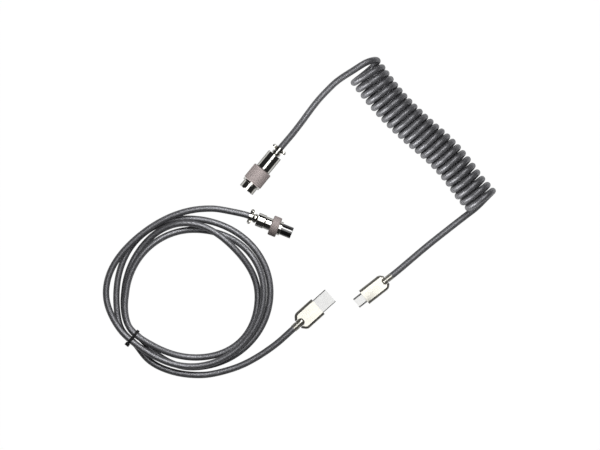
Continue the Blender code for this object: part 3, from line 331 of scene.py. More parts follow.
# Then the side, how far out, how far along, height, how much the run flattens, and when it climbs
LOOP_CENTRE = (-92.8, -41.1)
LOOP_PASSES = (
    ("top", 62.8, 12.7, HIGH_STRAND, 0.045, EARLY),
    ("left", 63.4, 0.4, HIGH_STRAND, 0.060, LATE),
    ("bottom", 54.2, 0.0, HIGH_STRAND, 0.010, EARLY),
    ("right", 53.6, 0.7, HIGH_STRAND, -0.016, MIDWAY),
    ("top", 47.2, 1.5, LOW_STRAND, 0.000, EARLY),
    ("left", 48.8, -5.2, HIGH_STRAND, 0.020, LATE),
    ("bottom", 47.9, 3.0, LOW_STRAND, -0.030, EARLY),
    ("right", 49.1, -2.2, LOW_STRAND, 0.060, EARLY),
    ("top", 52.1, -4.5, HIGH_STRAND, 0.015, EARLY),
    ("left", 50.4, -3.7, LOW_STRAND, 0.045, LATE),
    ("bottom", 55.2, 0.0, LOW_STRAND, 0.000, EARLY),
    ("right", 58.4, 0.7, LOW_STRAND, -0.003, EARLY),
    ("top", 55.4, -3.0, LOW_STRAND, -0.020, EARLY),
    ("left", 56.1, -2.2, LOW_STRAND, -0.020, LATE),
    ("bottom", 60.9, 4.5, LOW_STRAND, 0.000, EARLY),
)
# Tie: the row and level of each strand in the bundle, in the order that they pass
TIE_SLOTS = ((-1, 1), (1, 1), (1, 0), (-1, 0))
TIE_OFFSET = (-43.3, -32.5)
TIE_HEADING = -38.9
TIE_THICKNESS = 0.8
TIE_PULL_LENGTH = 12.7
SEAT_GAP = 0.3

# Free stretches: the points that the cable passes through
PLUG_LEAD_VIA = (
    (-57.8, 18.4, HIGH_STRAND + 0.2),
    (-65.1, 19.9, HIGH_STRAND),
)
USB_A_LEAD_VIA = (
    (-71.8, -99.9, LOW_STRAND),
    (-56.7, -95.1, LOW_STRAND),
    (-42.9, -87.8, LOW_STRAND + 0.1),
    (-30.0, -78.8, LOW_STRAND + 0.6),
)
SOCKET_LEAD_VIA = (
    (-18.0, 76.9, 8.5),
    (-11.5, 85.2, 10.4),
    (-5.4, 93.4, 13.0),
    (0.9, 101.4, 16.1),
    (7.9, 108.7, 19.2),
    (15.4, 115.6, 22.0),
)
USB_C_LEAD_VIA = (
    (110.3, 16.1, LOW_STRAND),
    (98.7, 7.1, LOW_STRAND),
    (83.4, -5.0, LOW_STRAND),
    (72.2, -14.4, LOW_STRAND + 0.1),
)

# Coil: where it starts and its heading, then its size, its bow, and how its curls lean and swell
COIL_PLACE = (35.4, 123.4, -48.1)
COIL_TURNS = 23
COIL_LENGTH = 129.0
COIL_OUTER_DIA = 27.2
COIL_BOW = 2.2
COIL_BOW_END = 0.9
COIL_LEAD_IN = 2.9
COIL_FIRST_LEAN = 3.7
COIL_LEAN_LENGTH = 30.0
COIL_LEAN_START = 0.5
COIL_BACK_LEAN = 2.0
COIL_SWELL = 0.9
COIL_SWELL_LENGTH = 35.0
COIL_LAG = 1.1
COIL_EXTRA_TURN = 0.25
COIL_REST = 0.05
CURL_POINTS = 40
# How far before the coil's end the stretch is complete
COIL_HELD = 4.0


# Routes


def eased(share):
    """A share of a change that starts and ends gently."""
    share = min(1.0, max(0.0, share))
    return share * share * (3.0 - 2.0 * share)


def on_axis(place, reach):
    """The point on a connector's axis that lies so far forward of its place."""
    x, y, heading, height = place
    turn = math.radians(heading)
    return Vector((x + reach * math.cos(turn), y + reach * math.sin(turn), height))


def through(points):
    """Close points on a smooth curve through the given points, from the second to the last but one."""
    points = [Vector(point) for point in points]
    fine = []
    for a, b, c, d in zip(points, points[1:], points[2:], points[3:]):
        for k in range(ROUTE_STEPS):
            t = k / ROUTE_STEPS
            fine.append(0.5 * (2 * b + (c - a) * t + (2 * a - 5 * b + 4 * c - d) * t * t
                               + (3 * b - a - 3 * c + d) * t ** 3))
    return fine + [points[-2]]


def evenly(points, step):
    """The same route with its points one step apart, smoothed a little."""
    lengths = [0.0]
    for a, b in zip(points, points[1:]):
        lengths.append(lengths[-1] + (b - a).length)
    count = round(lengths[-1] / step)
    route = []
    k = 0
    for index in range(count + 1):
        target = lengths[-1] * index / count
        while k < len(points) - 2 and lengths[k + 1] < target:
            k += 1
        span = lengths[k + 1] - lengths[k]
        share = min(1.0, (target - lengths[k]) / span) if span else 0.0
        route.append(points[k].lerp(points[k + 1], share))
    for _ in range(SMOOTH_ROUNDS):
        middle = [(a + 2 * b + c) / 4 for a, b, c in zip(route, route[1:], route[2:])]
        route = [route[0]] + middle + [route[-1]]
    return route


def side_point(turn):
    """Where the cable passes one side of the loops."""
    side, reach, along, height, *_ = turn
    x, y = LOOP_CENTRE
    if side in ("top", "bottom"):
        return Vector((x + along, y + (reach if side == "top" else -reach), height))
    return Vector((x + (reach if side == "right" else -reach), y + along, height))


def quarter_turn(turn, following):
    """A quarter of an ellipse from one side of the loops to the next, flattened a little."""
    side, *_, flatness, (begin, end) = turn
    a = side_point(turn)
    b = side_point(following)
    centre = Vector((a.x, b.y)) if side in ("top", "bottom") else Vector((b.x, a.y))
    points = []
    for k in range(QUARTER_POINTS):
        share = k / QUARTER_POINTS
        angle = share * math.pi / 2
        shrink = 1.0 - flatness * math.sin(2 * angle) ** 2
        flat = centre + shrink * (math.cos(angle) * (a.xy - centre) + math.sin(angle) * (b.xy - centre))
        height = a.z + (b.z - a.z) * eased((share - begin) / (end - begin))
        points.append(Vector((flat.x, flat.y, height)))
    return points


def tie_middle():
    """The middle of the tied bundle."""
    height = LOW_STRAND + TIE_THICKNESS + SEAT_GAP + STRAND_PITCH / 2
    return Vector((LOOP_CENTRE[0] + TIE_OFFSET[0], LOOP_CENTRE[1] + TIE_OFFSET[1], height))


def drawn_to_tie(points, slot):
    """A run past the tie, drawn into its place in the bundle."""
    row, level = slot
    heading = math.radians(TIE_HEADING)
    along_tie = Vector((math.cos(heading), math.sin(heading), 0.0))
    across = Vector((-along_tie.y, along_tie.x, 0.0))
    middle = tie_middle()
    held = middle + across * row * STRAND_PITCH / 2 + Vector((0.0, 0.0, (level - 0.5) * STRAND_PITCH))
    drawn = []
    for point in points:
        along = (point - middle).dot(along_tie)
        pull = math.exp(-(along / TIE_PULL_LENGTH) ** 2)
        drawn.append(point.lerp(held + along_tie * along, pull))
    return drawn


def loop_route():
    """The looped stretch of the host cable."""
    points = []
    slots = iter(TIE_SLOTS)
    for turn, following in zip(LOOP_PASSES, LOOP_PASSES[1:]):
        run = quarter_turn(turn, following)
        if turn[0] == "left":
            run = drawn_to_tie(run, next(slots))
        points += run
    return points + [side_point(LOOP_PASSES[-1])]


def coil_frame():
    """The coil's start, its direction along the surface and the direction to its outer side."""
    x, y, heading = COIL_PLACE
    turn = math.radians(heading)
    along = Vector((math.cos(turn), math.sin(turn), 0.0))
    outer = Vector((-along.y, along.x, 0.0))
    return Vector((x, y, COIL_OUTER_DIA / 2 + COIL_REST)), along, outer


def coil_point(turns):
    """The point so many turns on, as its places along the axis, to the outer side and up."""
    place = turns * COIL_LENGTH / COIL_TURNS
    share = min(1.0, max(0.0, turns / COIL_TURNS))
    phase = min(1.0, max(share, 0.5 + 0.5 * (share - 0.5) / (COIL_BOW_END - 0.5)))
    radius = (COIL_OUTER_DIA - CABLE_DIA) / 2
    wide = radius + COIL_SWELL * math.exp(-COIL_LENGTH * share / COIL_SWELL_LENGTH)
    lean = COIL_FIRST_LEAN * math.exp(-COIL_LENGTH * share / COIL_LEAN_LENGTH)
    lean -= COIL_BACK_LEAN * math.sin(math.pi * share)
    angle = -2.0 * math.pi * turns
    place -= COIL_LEAD_IN * eased(-turns / COIL_EXTRA_TURN)
    place -= COIL_LAG * math.sin(math.pi * share * share) ** 2
    place += lean / 2 * eased(turns + COIL_LEAN_START) * math.cos(angle)
    bow = -COIL_BOW * math.sin(2.0 * math.pi * phase)
    return place, bow + wide * math.cos(angle), radius * math.sin(angle)


def coil_route():
    """A left-handed helix round a slightly bowed axis, coming in over the top and leaving underneath."""
    start, along, outer = coil_frame()
    extra = round(COIL_EXTRA_TURN * CURL_POINTS)
    points = []
    for k in range(-extra, COIL_TURNS * CURL_POINTS + extra + 1):
        place, side, up = coil_point(k / CURL_POINTS)
        points.append(start + along * place + outer * side + Vector((0.0, 0.0, up)))
    return points


def lead_route(place, reach, via, wound):
    """A free stretch from inside a connector to the start of a wound stretch."""
    shifts = (2 * CABLE_TUCK, CABLE_TUCK, 0.0, -CABLE_DIA)
    start = [on_axis(place, reach + shift) for shift in shifts]
    return through(start + [Vector(point) for point in via] + wound)


def host_route():
    """The whole host cable, from the round plug to the USB-A plug."""
    loops = loop_route()
    straight = Vector((CABLE_DIA, 0.0, 0.0))
    first = lead_route(PLUG, PLUG_CABLE_END, PLUG_LEAD_VIA, [loops[0] + straight, loops[0]])
    last = lead_route(USB_A, USB_A_CABLE_END, USB_A_LEAD_VIA[::-1], [loops[-1] + straight, loops[-1]])
    return evenly(first + loops + last[::-1], TUBE_STEP)


def keyboard_route():
    """The whole keyboard cable, from the round socket to the USB-C plug."""
    coil = coil_route()
    ends = []
    for point, inner in ((coil[0], coil[1]), (coil[-1], coil[-2])):
        back = point - inner
        back.z = 0.0
        ends.append(point + back.normalized() * CABLE_DIA)
    first = lead_route(SOCKET, SOCKET_CABLE_END, SOCKET_LEAD_VIA, [ends[0], coil[0]])
    last = lead_route(USB_C, USB_C_CABLE_END, USB_C_LEAD_VIA[::-1], [ends[1], coil[-1]])
    return evenly(first + coil + last[::-1], TUBE_STEP)


# Materials


class Nodes:
    """A short way to write a material's nodes."""

    def __init__(self, name):
        self.material = bpy.data.materials.new(name)
        self.material.use_nodes = True
        self.tree = self.material.node_tree
        self.shader = self.tree.nodes["Principled BSDF"]

    def add(self, kind, **settings):
        """A new node with its settings."""
        node = self.tree.nodes.new(kind)
        for key, value in settings.items():
            setattr(node, key, value)
        return node

    def link(self, source, target):
        """Link one node's socket to another's."""
        self.tree.links.new(source, target)

    def fill(self, socket, value):
        """Set a socket to a value, or link it to another node's socket."""
        if isinstance(value, bpy.types.NodeSocket):
            self.link(value, socket)
        else:
            socket.default_value = value

    def math(self, operation, a, b=0.0, c=0.0):
        """The result of a sum on up to three numbers."""
        node = self.add("ShaderNodeMath", operation=operation)
        for socket, value in zip(node.inputs, (a, b, c)):
            self.fill(socket, value)
        return node.outputs[0]

    def range(self, value, low, high, to_low, to_high, smooth=False):
        """A value taken from one range to another."""
        node = self.add("ShaderNodeMapRange", interpolation_type="SMOOTHSTEP" if smooth else "LINEAR")
        for socket, item in zip(node.inputs, (value, low, high, to_low, to_high)):
            self.fill(socket, item)
        return node.outputs[0]

    def mix(self, share, a, b, kind="RGBA"):
        """Two colours, or two numbers, mixed by a share."""
        first, second, result = MIX_SOCKETS[kind]
        node = self.add("ShaderNodeMix", data_type=kind)
        self.fill(node.inputs[0], share)
        self.fill(node.inputs[first], a)
        self.fill(node.inputs[second], b)
        return node.outputs[result]

    def noise(self, vector, scale, detail):
        """Soft noise of a given fineness."""
        node = self.add("ShaderNodeTexNoise")
        self.link(vector, node.inputs["Vector"])
        node.inputs["Scale"].default_value = scale
        node.inputs["Detail"].default_value = detail
        return node.outputs["Fac"]

    def place(self):
        """Places on the piece, in metres."""
        return self.add("ShaderNodeTexCoord").outputs["Object"]

    def bump(self, height, strength, distance):
        """Relief on the surface from a height."""
        node = self.add("ShaderNodeBump")
        node.inputs["Strength"].default_value = strength
        node.inputs["Distance"].default_value = distance
        self.link(height, node.inputs["Height"])
        self.link(node.outputs["Normal"], self.shader.inputs["Normal"])

    def surface(self, **values):
        """Fill the shader's sockets by their names."""
        for name, value in values.items():
            self.fill(self.shader.inputs[name.replace("_", " ").title()], value)


def braid_material():
    """A woven sleeve: two sets of yarns that cross over and under, each of three filaments, with painted
    shade in the creases between them.
    """
    n = Nodes("braid")
    uv = n.add("ShaderNodeUVMap", uv_map="route")
    split = n.add("ShaderNodeSeparateXYZ")
    n.link(uv.outputs[0], split.inputs[0])
    along = n.math("MULTIPLY", split.outputs[0], BRAID_YARNS / BRAID_TURN)
    across = n.math("MULTIPLY", split.outputs[1], BRAID_YARNS)
    first = n.math("ADD", across, along)
    second = n.math("SUBTRACT", across, along)
    over = n.math("ADD", n.math("FLOOR", first), n.math("FLOOR", second))
    over = n.math("PINGPONG", over, 1.0)
    heights = []
    for yarns in (first, second):
        part = n.math("FRACT", yarns)
        crown = n.math("SINE", n.math("MULTIPLY", part, math.pi))
        filament = n.math("ABSOLUTE", n.math("SINE", n.math("MULTIPLY", part, BRAID_FILAMENTS * math.pi)))
        filament = n.math("MULTIPLY_ADD", filament, FILAMENT_DEPTH, 1.0 - FILAMENT_DEPTH)
        heights.append(n.math("MULTIPLY", crown, filament))
    height = n.mix(over, *heights, "FLOAT")
    fleck = n.noise(n.place(), FLECK_SCALE, CLOUD_DETAIL)
    yarn = n.mix(over, DARK_YARN, LIGHT_YARN)
    yarn = n.mix(n.range(fleck, *NOISE_CORE, 0.0, FLECK_SHARE), yarn, FLECK)
    # Painted shade: the colour darkens to near black where the relief is low, in the creases between yarns
    # and between filaments
    colour = n.mix(n.range(height, *CREASE_SHADE_RISE, 0.0, 1.0), BRAID_CREASE_SHADE, yarn)
    n.surface(base_color=colour, roughness=n.range(fleck, *NOISE_BAND, *BRAID_ROUGHNESS))
    n.shader.inputs["Metallic"].default_value = BRAID_METALLIC
    n.bump(height, *BRAID_RELIEF)
    return n.material


def metal_material(name, colour, roughness, grain, metallic):
    """Plated metal with a faint grain and uneven polish."""
    n = Nodes(name)
    place = n.place()
    cloud = n.noise(place, METAL_CLOUD, CLOUD_DETAIL)
    fine = n.noise(place, METAL_GRAIN, GRAIN_DETAIL)
    dull = [part * METAL_DULL for part in colour]
    n.surface(
        base_color=n.mix(n.range(cloud, *NOISE_CORE, 0.0, 1.0), (*dull, 1.0), (*colour, 1.0)),
        roughness=n.range(cloud, *NOISE_BAND, roughness - METAL_SPREAD, roughness + METAL_SPREAD),
        metallic=metallic,
    )
    n.bump(fine, grain, METAL_GRAIN_DEPTH)
    return n.material


def plastic_material(name, colour, roughness, grain, shine):
    """Moulded plastic with a faint orange-peel surface."""
    n = Nodes(name)
    place = n.place()
    cloud = n.noise(place, PLASTIC_CLOUD, CLOUD_DETAIL)
    fine = n.noise(place, PLASTIC_GRAIN, GRAIN_DETAIL)
    light = [min(1.0, part * PLASTIC_LIGHT + PLASTIC_LIFT) for part in colour]
    n.surface(
        base_color=n.mix(n.range(cloud, *NOISE_CORE, 0.0, 1.0), (*colour, 1.0), (*light, 1.0)),
        roughness=n.range(cloud, *NOISE_BAND, roughness - PLASTIC_SPREAD, roughness + PLASTIC_SPREAD),
    )
    n.shader.inputs["Specular IOR Level"].default_value = shine
    n.bump(fine, grain, PLASTIC_GRAIN_DEPTH)
    return n.material


def finishes():
    """The material of each slot."""
    slots = {name: metal_material(name, **look) for name, look in METALS.items()}
    for name, look in PLASTICS.items():
        slots[name] = plastic_material(name, **look)
    return slots


def paint(nodes, record, slots):
    """Give each solid the material of its slot."""
    for item in record["subparts"]:
        node = nodes[item["node"]]
        slot = "matt_nylon" if item["node"] == "cable_tie" else item["material_slot"]
        if slot in slots:
            node.data.materials.clear()
            node.data.materials.append(slots[slot])


# Pieces


def as_mesh(name, bm):
    """A body as a mesh."""
    mesh = bpy.data.meshes.new(name)
    bm.to_mesh(mesh)
    bm.free()
    return mesh


def add_object(name, mesh, material):
    """A mesh as an object with one material."""
    mesh.materials.append(material)
    obj = bpy.data.objects.new(name, mesh)
    bpy.context.collection.objects.link(obj)
    return obj


def smoothed(obj):
    """Shade a piece smooth, apart from its sharp edges."""
    obj.data.shade_smooth()
    obj.data.set_sharp_from_angle(angle=SHARP)


def settled(name, bm, place, material):
    """A piece made in millimetres in a connector's own frame, put where the connector lies."""
    x, y, heading, height = place
    move = Matrix.Translation(Vector((x, y, height)) * MM)
    turn = Matrix.Rotation(math.radians(heading), 4, "Z")
    bm.transform(move @ turn @ Matrix.Scale(MM, 4))
    obj = add_object(name, as_mesh(name, bm), material)
    smoothed(obj)
    return obj


def cut(obj, tool):
    """Cut a tool out of a piece for good."""
    change = obj.modifiers.new("cut", "BOOLEAN")
    change.object = tool
    change.operation = "DIFFERENCE"
    change.solver = "EXACT"
    shown = obj.evaluated_get(bpy.context.evaluated_depsgraph_get())
    obj.data = bpy.data.meshes.new_from_object(shown)
    obj.modifiers.clear()
    bpy.data.objects.remove(tool)
    bm = bmesh.new()
    bm.from_mesh(obj.data)
    bmesh.ops.remove_doubles(bm, verts=bm.verts, dist=CLOSE_CUT * MM)
    bm.to_mesh(obj.data)
    bm.free()
    smoothed(obj)


def arc(radius, first, last, steps, middle=(0.0, 0.0)):
    """Points along an arc, from a first to a last angle."""
    points = []
    for k in range(steps + 1):
        angle = first + (last - first) * k / steps
        points.append((middle[0] + radius * math.cos(angle), middle[1] + radius * math.sin(angle)))
    return points


def bridge(bm, ring, following):
    """Add the faces between two rings of points to a body."""
    for k in range(len(ring)):
        bm.faces.new((ring[k - 1], ring[k], following[k], following[k - 1]))


def add_prism(bm, outline, way):
    """Add a prism to a body, from an outline along a vector."""
    ends = []
    for shift in (Vector(), Vector(way)):
        ends.append([bm.verts.new(Vector(point) + shift) for point in outline])
    bm.faces.new(ends[0])
    bm.faces.new(ends[1][::-1])
    bridge(bm, *ends)


def tube_mesh(name, points):
    """A round tube of cable, with the length in millimetres and the turn round it as its map."""
    bm = bmesh.new()
    layer = bm.loops.layers.uv.new("route")
    radius = CABLE_DIA / 2
    side = (points[1] - points[0]).orthogonal().normalized()
    rings = []
    lengths = [0.0]
    for index, point in enumerate(points):
        ahead = points[min(index + 1, len(points) - 1)] - points[max(index - 1, 0)]
        ahead.normalize()
        side = (side - ahead * side.dot(ahead)).normalized()
        up = ahead.cross(side)
        ring = []
        for k in range(TUBE_SIDES):
            angle = 2.0 * math.pi * k / TUBE_SIDES
            out = math.cos(angle) * side + math.sin(angle) * up
            ring.append(bm.verts.new((point + radius * out) * MM))
        rings.append(ring)
        if index:
            lengths.append(lengths[-1] + (point - points[index - 1]).length)
    for index, (ring, following) in enumerate(zip(rings, rings[1:])):
        for k in range(TUBE_SIDES):
            m = (k + 1) % TUBE_SIDES
            face = bm.faces.new((ring[k], ring[m], following[m], following[k]))
            face.smooth = True
            marks = ((index, k), (index, k + 1), (index + 1, k + 1), (index + 1, k))
            for loop, (row, column) in zip(face.loops, marks):
                loop[layer].uv = (lengths[row], column / TUBE_SIDES)
    bm.faces.new(rings[0][::-1])
    bm.faces.new(rings[-1])
    return as_mesh(name, bm), lengths[-1]


# Turned bodies


def edged(start, end, radius, edge):
    """The outside of a bar from its start to its end, with rounded edges."""
    way = 1.0 if end > start else -1.0
    front = []
    back = []
    for k in range(ARC_STEPS + 1):
        turn = math.pi / 2 * k / ARC_STEPS
        inward = way * edge * (1.0 - math.cos(turn))
        out = radius - edge * (1.0 - math.sin(turn))
        front.append((start + inward, out))
        back.append((end - inward, out))
    return front + back[::-1]


def ridge(value):
    """A peak halfway between two whole numbers, and nothing on them."""
    return 1.0 - abs(2.0 * (value % 1.0) - 1.0)


def knurl(along, turn):
    """How deep two crossing sets of grooves cut, from 0 to 1."""
    step = along / KNURL_PITCH
    starts = turn * KNURL_STARTS
    return 1.0 - min(ridge(starts + step), ridge(starts - step))


def thread(along, turn):
    """How deep a fine screw thread cuts, from 0 to 1."""
    return 1.0 - ridge(along / THREAD_PITCH - turn)


def cut_rows(start, end, radius, pitch, samples, depth):
    """Close rows of a profile where grooves are cut."""
    count = round((end - start) * samples / pitch)
    return [(start + (end - start) * k / count, radius, depth) for k in range(count + 1)]


def supported(profile):
    """A closed profile with points added near the ends of its long runs, which keep straight when smooth."""
    points = []
    for a, b in zip(profile, profile[1:] + profile[:1]):
        points.append(a)
        length = math.hypot(b[0] - a[0], b[1] - a[1])
        if length > 4 * SUPPORT:
            for share in (SUPPORT / length, 1.0 - SUPPORT / length):
                points.append((a[0] + (b[0] - a[0]) * share, a[1] + (b[1] - a[1]) * share))
    return points


def turned(profile, relief=None, sides=ROUND_SIDES):
    """A body turned on the x axis from a closed profile of places, radii and depths of cut."""
    bm = bmesh.new()
    rings = []
    for along, radius, *depth in supported(profile):
        ring = []
        for k in range(sides):
            turn = k / sides
            out = radius - depth[0] * relief(along, turn) if depth else radius
            angle = 2.0 * math.pi * turn
            ring.append(bm.verts.new((along, out * math.cos(angle), out * math.sin(angle))))
        rings.append(ring)
    for ring, following in zip(rings, rings[1:] + rings[:1]):
        bridge(bm, ring, following)
    bmesh.ops.remove_doubles(bm, verts=bm.verts, dist=CLOSE_TURNED)
    bmesh.ops.recalc_face_normals(bm, faces=bm.faces)
    return bm


# Cable clamps


def clamp_front(barrel):
    """Where the clamp behind a barrel starts, a little over the neck's end."""
    return -barrel[1] - NECK_LENGTH + CLAMP_LAP


def clamp_outline(side):
    """Half of a clamp across the cable, below (-1) or above (1) it: a half ring with two flat ears."""
    opening = math.asin(CLAMP_SPLIT / CLAMP_INNER)
    shoulder = math.asin(CLAMP_EAR_TOP / CLAMP_OUTER)
    points = arc(CLAMP_INNER, opening, math.pi - opening, JAW_STEPS)
    points += [(-CLAMP_EAR_TIP, CLAMP_SPLIT), (-CLAMP_EAR_TIP, CLAMP_EAR_TOP)]
    points += arc(CLAMP_OUTER, math.pi - shoulder, shoulder, JAW_STEPS)
    points += [(CLAMP_EAR_TIP, CLAMP_EAR_TOP), (CLAMP_EAR_TIP, CLAMP_SPLIT)]
    return [(y, side * z) for y, z in points]


def on_ear_corner(edge):
    """Whether an edge runs upright at the tip of a clamp's ear."""
    a, b = (vert.co for vert in edge.verts)
    upright = abs(a.x - b.x) < CLOSE and abs(a.y - b.y) < CLOSE
    return upright and abs(abs(a.y) - CLAMP_EAR_TIP) < CLOSE


def on_ear_rim(edge):
    """Whether an edge runs round the outer face of a clamp's ear."""
    flat = all(abs(abs(vert.co.z) - CLAMP_EAR_TOP) < CLOSE for vert in edge.verts)
    across = sum(abs(vert.co.y) for vert in edge.verts) / 2
    root = abs(edge.verts[0].co.y - edge.verts[1].co.y) < CLOSE and across < CLAMP_OUTER
    return flat and not root


def add_clamp_half(bm, rear, front, side):
    """Add half of a clamp with rounded ears to a body."""
    half = bmesh.new()
    add_prism(half, [(rear, y, z) for y, z in clamp_outline(side)], (front - rear, 0.0, 0.0))
    corners = [edge for edge in half.edges if on_ear_corner(edge)]
    bmesh.ops.bevel(half, geom=corners, offset=CLAMP_EAR_ROUND, segments=CORNER_STEPS, profile=0.5,
                    affect="EDGES", clamp_overlap=True)
    bmesh.ops.remove_doubles(half, verts=half.verts, dist=CLOSE)
    rim = [edge for edge in half.edges if on_ear_rim(edge)]
    bmesh.ops.bevel(half, geom=rim, offset=CLAMP_EAR_EDGE, segments=1, affect="EDGES", clamp_overlap=True)
    lower = CLAMP_EAR_TOP - CLAMP_EAR_EDGE
    for vert in half.verts:
        if abs(abs(vert.co.z) - lower) < CLOSE and abs(vert.co.y) > CLAMP_OUTER:
            vert.co.z = side * (CLAMP_EAR_TOP - CLAMP_EAR_EDGE * CLAMP_EAR_SLOPE)
    bmesh.ops.remove_doubles(half, verts=half.verts, dist=CLOSE)
    bmesh.ops.recalc_face_normals(half, faces=half.faces)
    mesh = as_mesh("half", half)
    bm.from_mesh(mesh)
    bpy.data.meshes.remove(mesh)


def saddle(barrel):
    """The upper half of a cable clamp."""
    front = clamp_front(barrel)
    bm = bmesh.new()
    add_clamp_half(bm, front - CLAMP_LENGTH, front - SADDLE_STEP, 1)
    return bm


def in_ear(bm, barrel, side):
    """Move a body made on the x axis upright into a clamp's ear, to one side (-1 or 1) of the cable."""
    middle = clamp_front(barrel) - CLAMP_LENGTH / 2
    move = Matrix.Translation((middle, side * SCREW_PITCH / 2, 0.0))
    bm.transform(move @ Matrix.Rotation(-math.pi / 2, 4, "Y"))
    return bm


def screw(barrel, side):
    """A clamp screw with a coned head, still without its slot."""
    seat, rim, top = SCREW_HEAD
    shank, head, flat = SCREW_RADII
    low = -CLAMP_EAR_TOP
    profile = [(low, 0.0), (low, shank), (seat, shank), (seat, head), (rim, head), (top, flat), (top, 0.0)]
    return in_ear(turned(profile, sides=SCREW_SIDES), barrel, side)


def screw_slot(barrel, side):
    """The slot across a clamp screw's head."""
    width, depth, length = SCREW_SLOT
    bm = bmesh.new()
    bmesh.ops.create_cube(bm, size=1.0)
    move = Matrix.Translation((SCREW_HEAD[2], 0.0, 0.0))
    bm.transform(move @ Matrix.Diagonal((2 * depth, width, length, 1.0)))
    return in_ear(bm, barrel, side)


# Round connectors


def backshell(barrel, groove=()):
    """A barrel that ends in a neck and the lower half of the cable clamp."""
    radius, length = barrel
    profile = edged(BARREL_FRONT, -length, radius, BARREL_EDGE)
    half = len(profile) // 2
    profile = profile[:half] + list(groove) + profile[half:]
    neck_end = -length - NECK_LENGTH
    bead = [-length - place for place in NECK_BEAD[:2]]
    profile += [(-length, NECK_WAISTS[0]), (bead[0], NECK_RADIUS), *edged(*bead, *NECK_BEAD[2:])]
    profile += [(bead[1], NECK_RADIUS), (neck_end, NECK_WAISTS[1]), (neck_end, CORE_RADIUS)]
    profile.append((BARREL_FRONT, CORE_RADIUS))
    bm = turned(profile)
    front = clamp_front(barrel)
    add_clamp_half(bm, front - CLAMP_LENGTH, front, -1)
    return bm


def socket_groove():
    """The groove round the socket's barrel, as points of its profile."""
    radius = SOCKET_BARREL[0]
    half = GROOVE_WIDTH / 2
    return [
        (GROOVE_PLACE + half, radius),
        (GROOVE_PLACE, radius - GROOVE_DEPTH),
        (GROOVE_PLACE - half, radius),
    ]


def grip(span, bore):
    """A knurled grip round the given bore."""
    start, end = span
    rim = GRIP_RADIUS - GRIP_EDGE
    rows = cut_rows(start + GRIP_EDGE, end - GRIP_EDGE, GRIP_RADIUS,
                    pitch=KNURL_PITCH, samples=KNURL_SAMPLES, depth=KNURL_DEPTH)
    return turned([(start, rim), *rows, (end, rim), *bore], knurl, KNURL_STARTS * KNURL_SAMPLES)


def nut():
    """The coupling nut: a recess for the clip, a web and an open mouth."""
    start, end = NUT_SPAN
    rear, front = NUT_WEB
    return grip(NUT_SPAN, [
        (end, NUT_MOUTH), (front, NUT_MOUTH), (front, NUT_HOLE),
        (rear, NUT_HOLE), (rear, NUT_RECESS), (start, NUT_RECESS),
    ])


def sleeve():
    """The socket's knurled sleeve."""
    start, end = SLEEVE_SPAN
    return grip(SLEEVE_SPAN, [(end, SLEEVE_BORE), (start, SLEEVE_BORE)])


def front_shell():
    """The plug's front shell: a flange that holds the nut, and a ring round the insert."""
    start, flange, ring, rim = SHELL_PLACES
    return turned([
        (start, SHELL_END), (start + SHELL_CONE, SHELL_RADIUS), (flange, SHELL_RADIUS),
        *edged(flange, ring, *SHELL_FLANGE), *edged(ring, rim, *SHELL_RING),
        (rim, SHELL_RING_BORE), (ring, SHELL_RING_BORE), (ring, SHELL_BORE), (start, SHELL_BORE),
    ])


def insert():
    """The plug's black insert, still without its holes."""
    rear, shoulder, face = INSERT_PLACES
    small, large = INSERT_RADII
    front = edged(shoulder, face, large, INSERT_EDGE)
    return turned([(rear, 0.0), (rear, small), (shoulder, small), *front, (face, 0.0)])


def pole_holes():
    """The holes in the insert's face."""
    bm = bmesh.new()
    for k in range(POLES):
        turn = math.radians(POLE_TURN + 360.0 * k / POLES)
        shift = (POLE_TOOL_LENGTH / 2, POLE_RADIUS * math.cos(turn), POLE_RADIUS * math.sin(turn))
        bmesh.ops.create_cone(
            bm, cap_ends=True, segments=POLE_HOLE_SIDES, depth=POLE_TOOL_LENGTH,
            radius1=POLE_HOLE_RADIUS, radius2=POLE_HOLE_RADIUS,
            matrix=Matrix.Translation(shift) @ Matrix.Rotation(math.pi / 2, 4, "Y"),
        )
    return bm


def tube():
    """The socket's tube, with a flange and a fine thread outside."""
    start, end = FLANGE_SPAN
    rows = cut_rows(end, TUBE_RIM - THREAD_RUNOUT, THREAD_RADIUS,
                    pitch=THREAD_PITCH, samples=THREAD_SAMPLES, depth=THREAD_DEPTH)
    return turned([
        (0.0, TUBE_RADIUS), (start, TUBE_RADIUS), *edged(start, end, FLANGE_RADIUS, FLANGE_EDGE),
        *rows, (TUBE_RIM, TUBE_RADIUS), (TUBE_RIM, TUBE_MOUTH), (start, TUBE_MOUTH), (start, TUBE_BORE),
        (TUBE_FLOOR, TUBE_BORE), (TUBE_FLOOR, TUBE_HOLE), (0.0, TUBE_HOLE),
    ], thread)


# USB plugs


def collar(places):
    """A ferrule with a groove where it meets the case, and a round nose."""
    rear, join, nose, radius = places
    width, depth = COLLAR_GROOVE
    reach = math.sqrt(radius ** 2 - CORE_RADIUS ** 2)
    last = math.atan2(CORE_RADIUS, reach)
    profile = [(rear, CORE_RADIUS)] + edged(rear, join - width, radius, COLLAR_EDGE)
    profile += [(join - width, radius - depth), (join, radius - depth), (join, radius)]
    return turned(profile + arc(radius, math.pi / 2, last, NOSE_STEPS, (nose - reach, 0.0)))


def case_outline(sizes, inset):
    """The outline of a USB case from its front at x = 0, drawn in by an inset at the sides and rear."""
    taper, half = sizes["taper"], sizes["width"] / 2
    run = half - sizes["slot"] / 2 - CASE_HORN
    level = run * (sizes["length"] - taper) + taper * half - inset * math.hypot(run, taper)
    side = half - inset
    rear = inset - sizes["length"]
    turn = math.atan2(run, taper)
    radius = CASE_CORNER - inset
    start = (taper * side - level) / run + radius * math.tan(turn / 2)
    corner = arc(radius, math.pi / 2, math.pi / 2 + turn, CORNER_STEPS, (start, side - radius))
    points = [(0.0, side), *corner, (rear, (level + run * rear) / taper)]
    return points + [(x, -y) for x, y in reversed(points)]


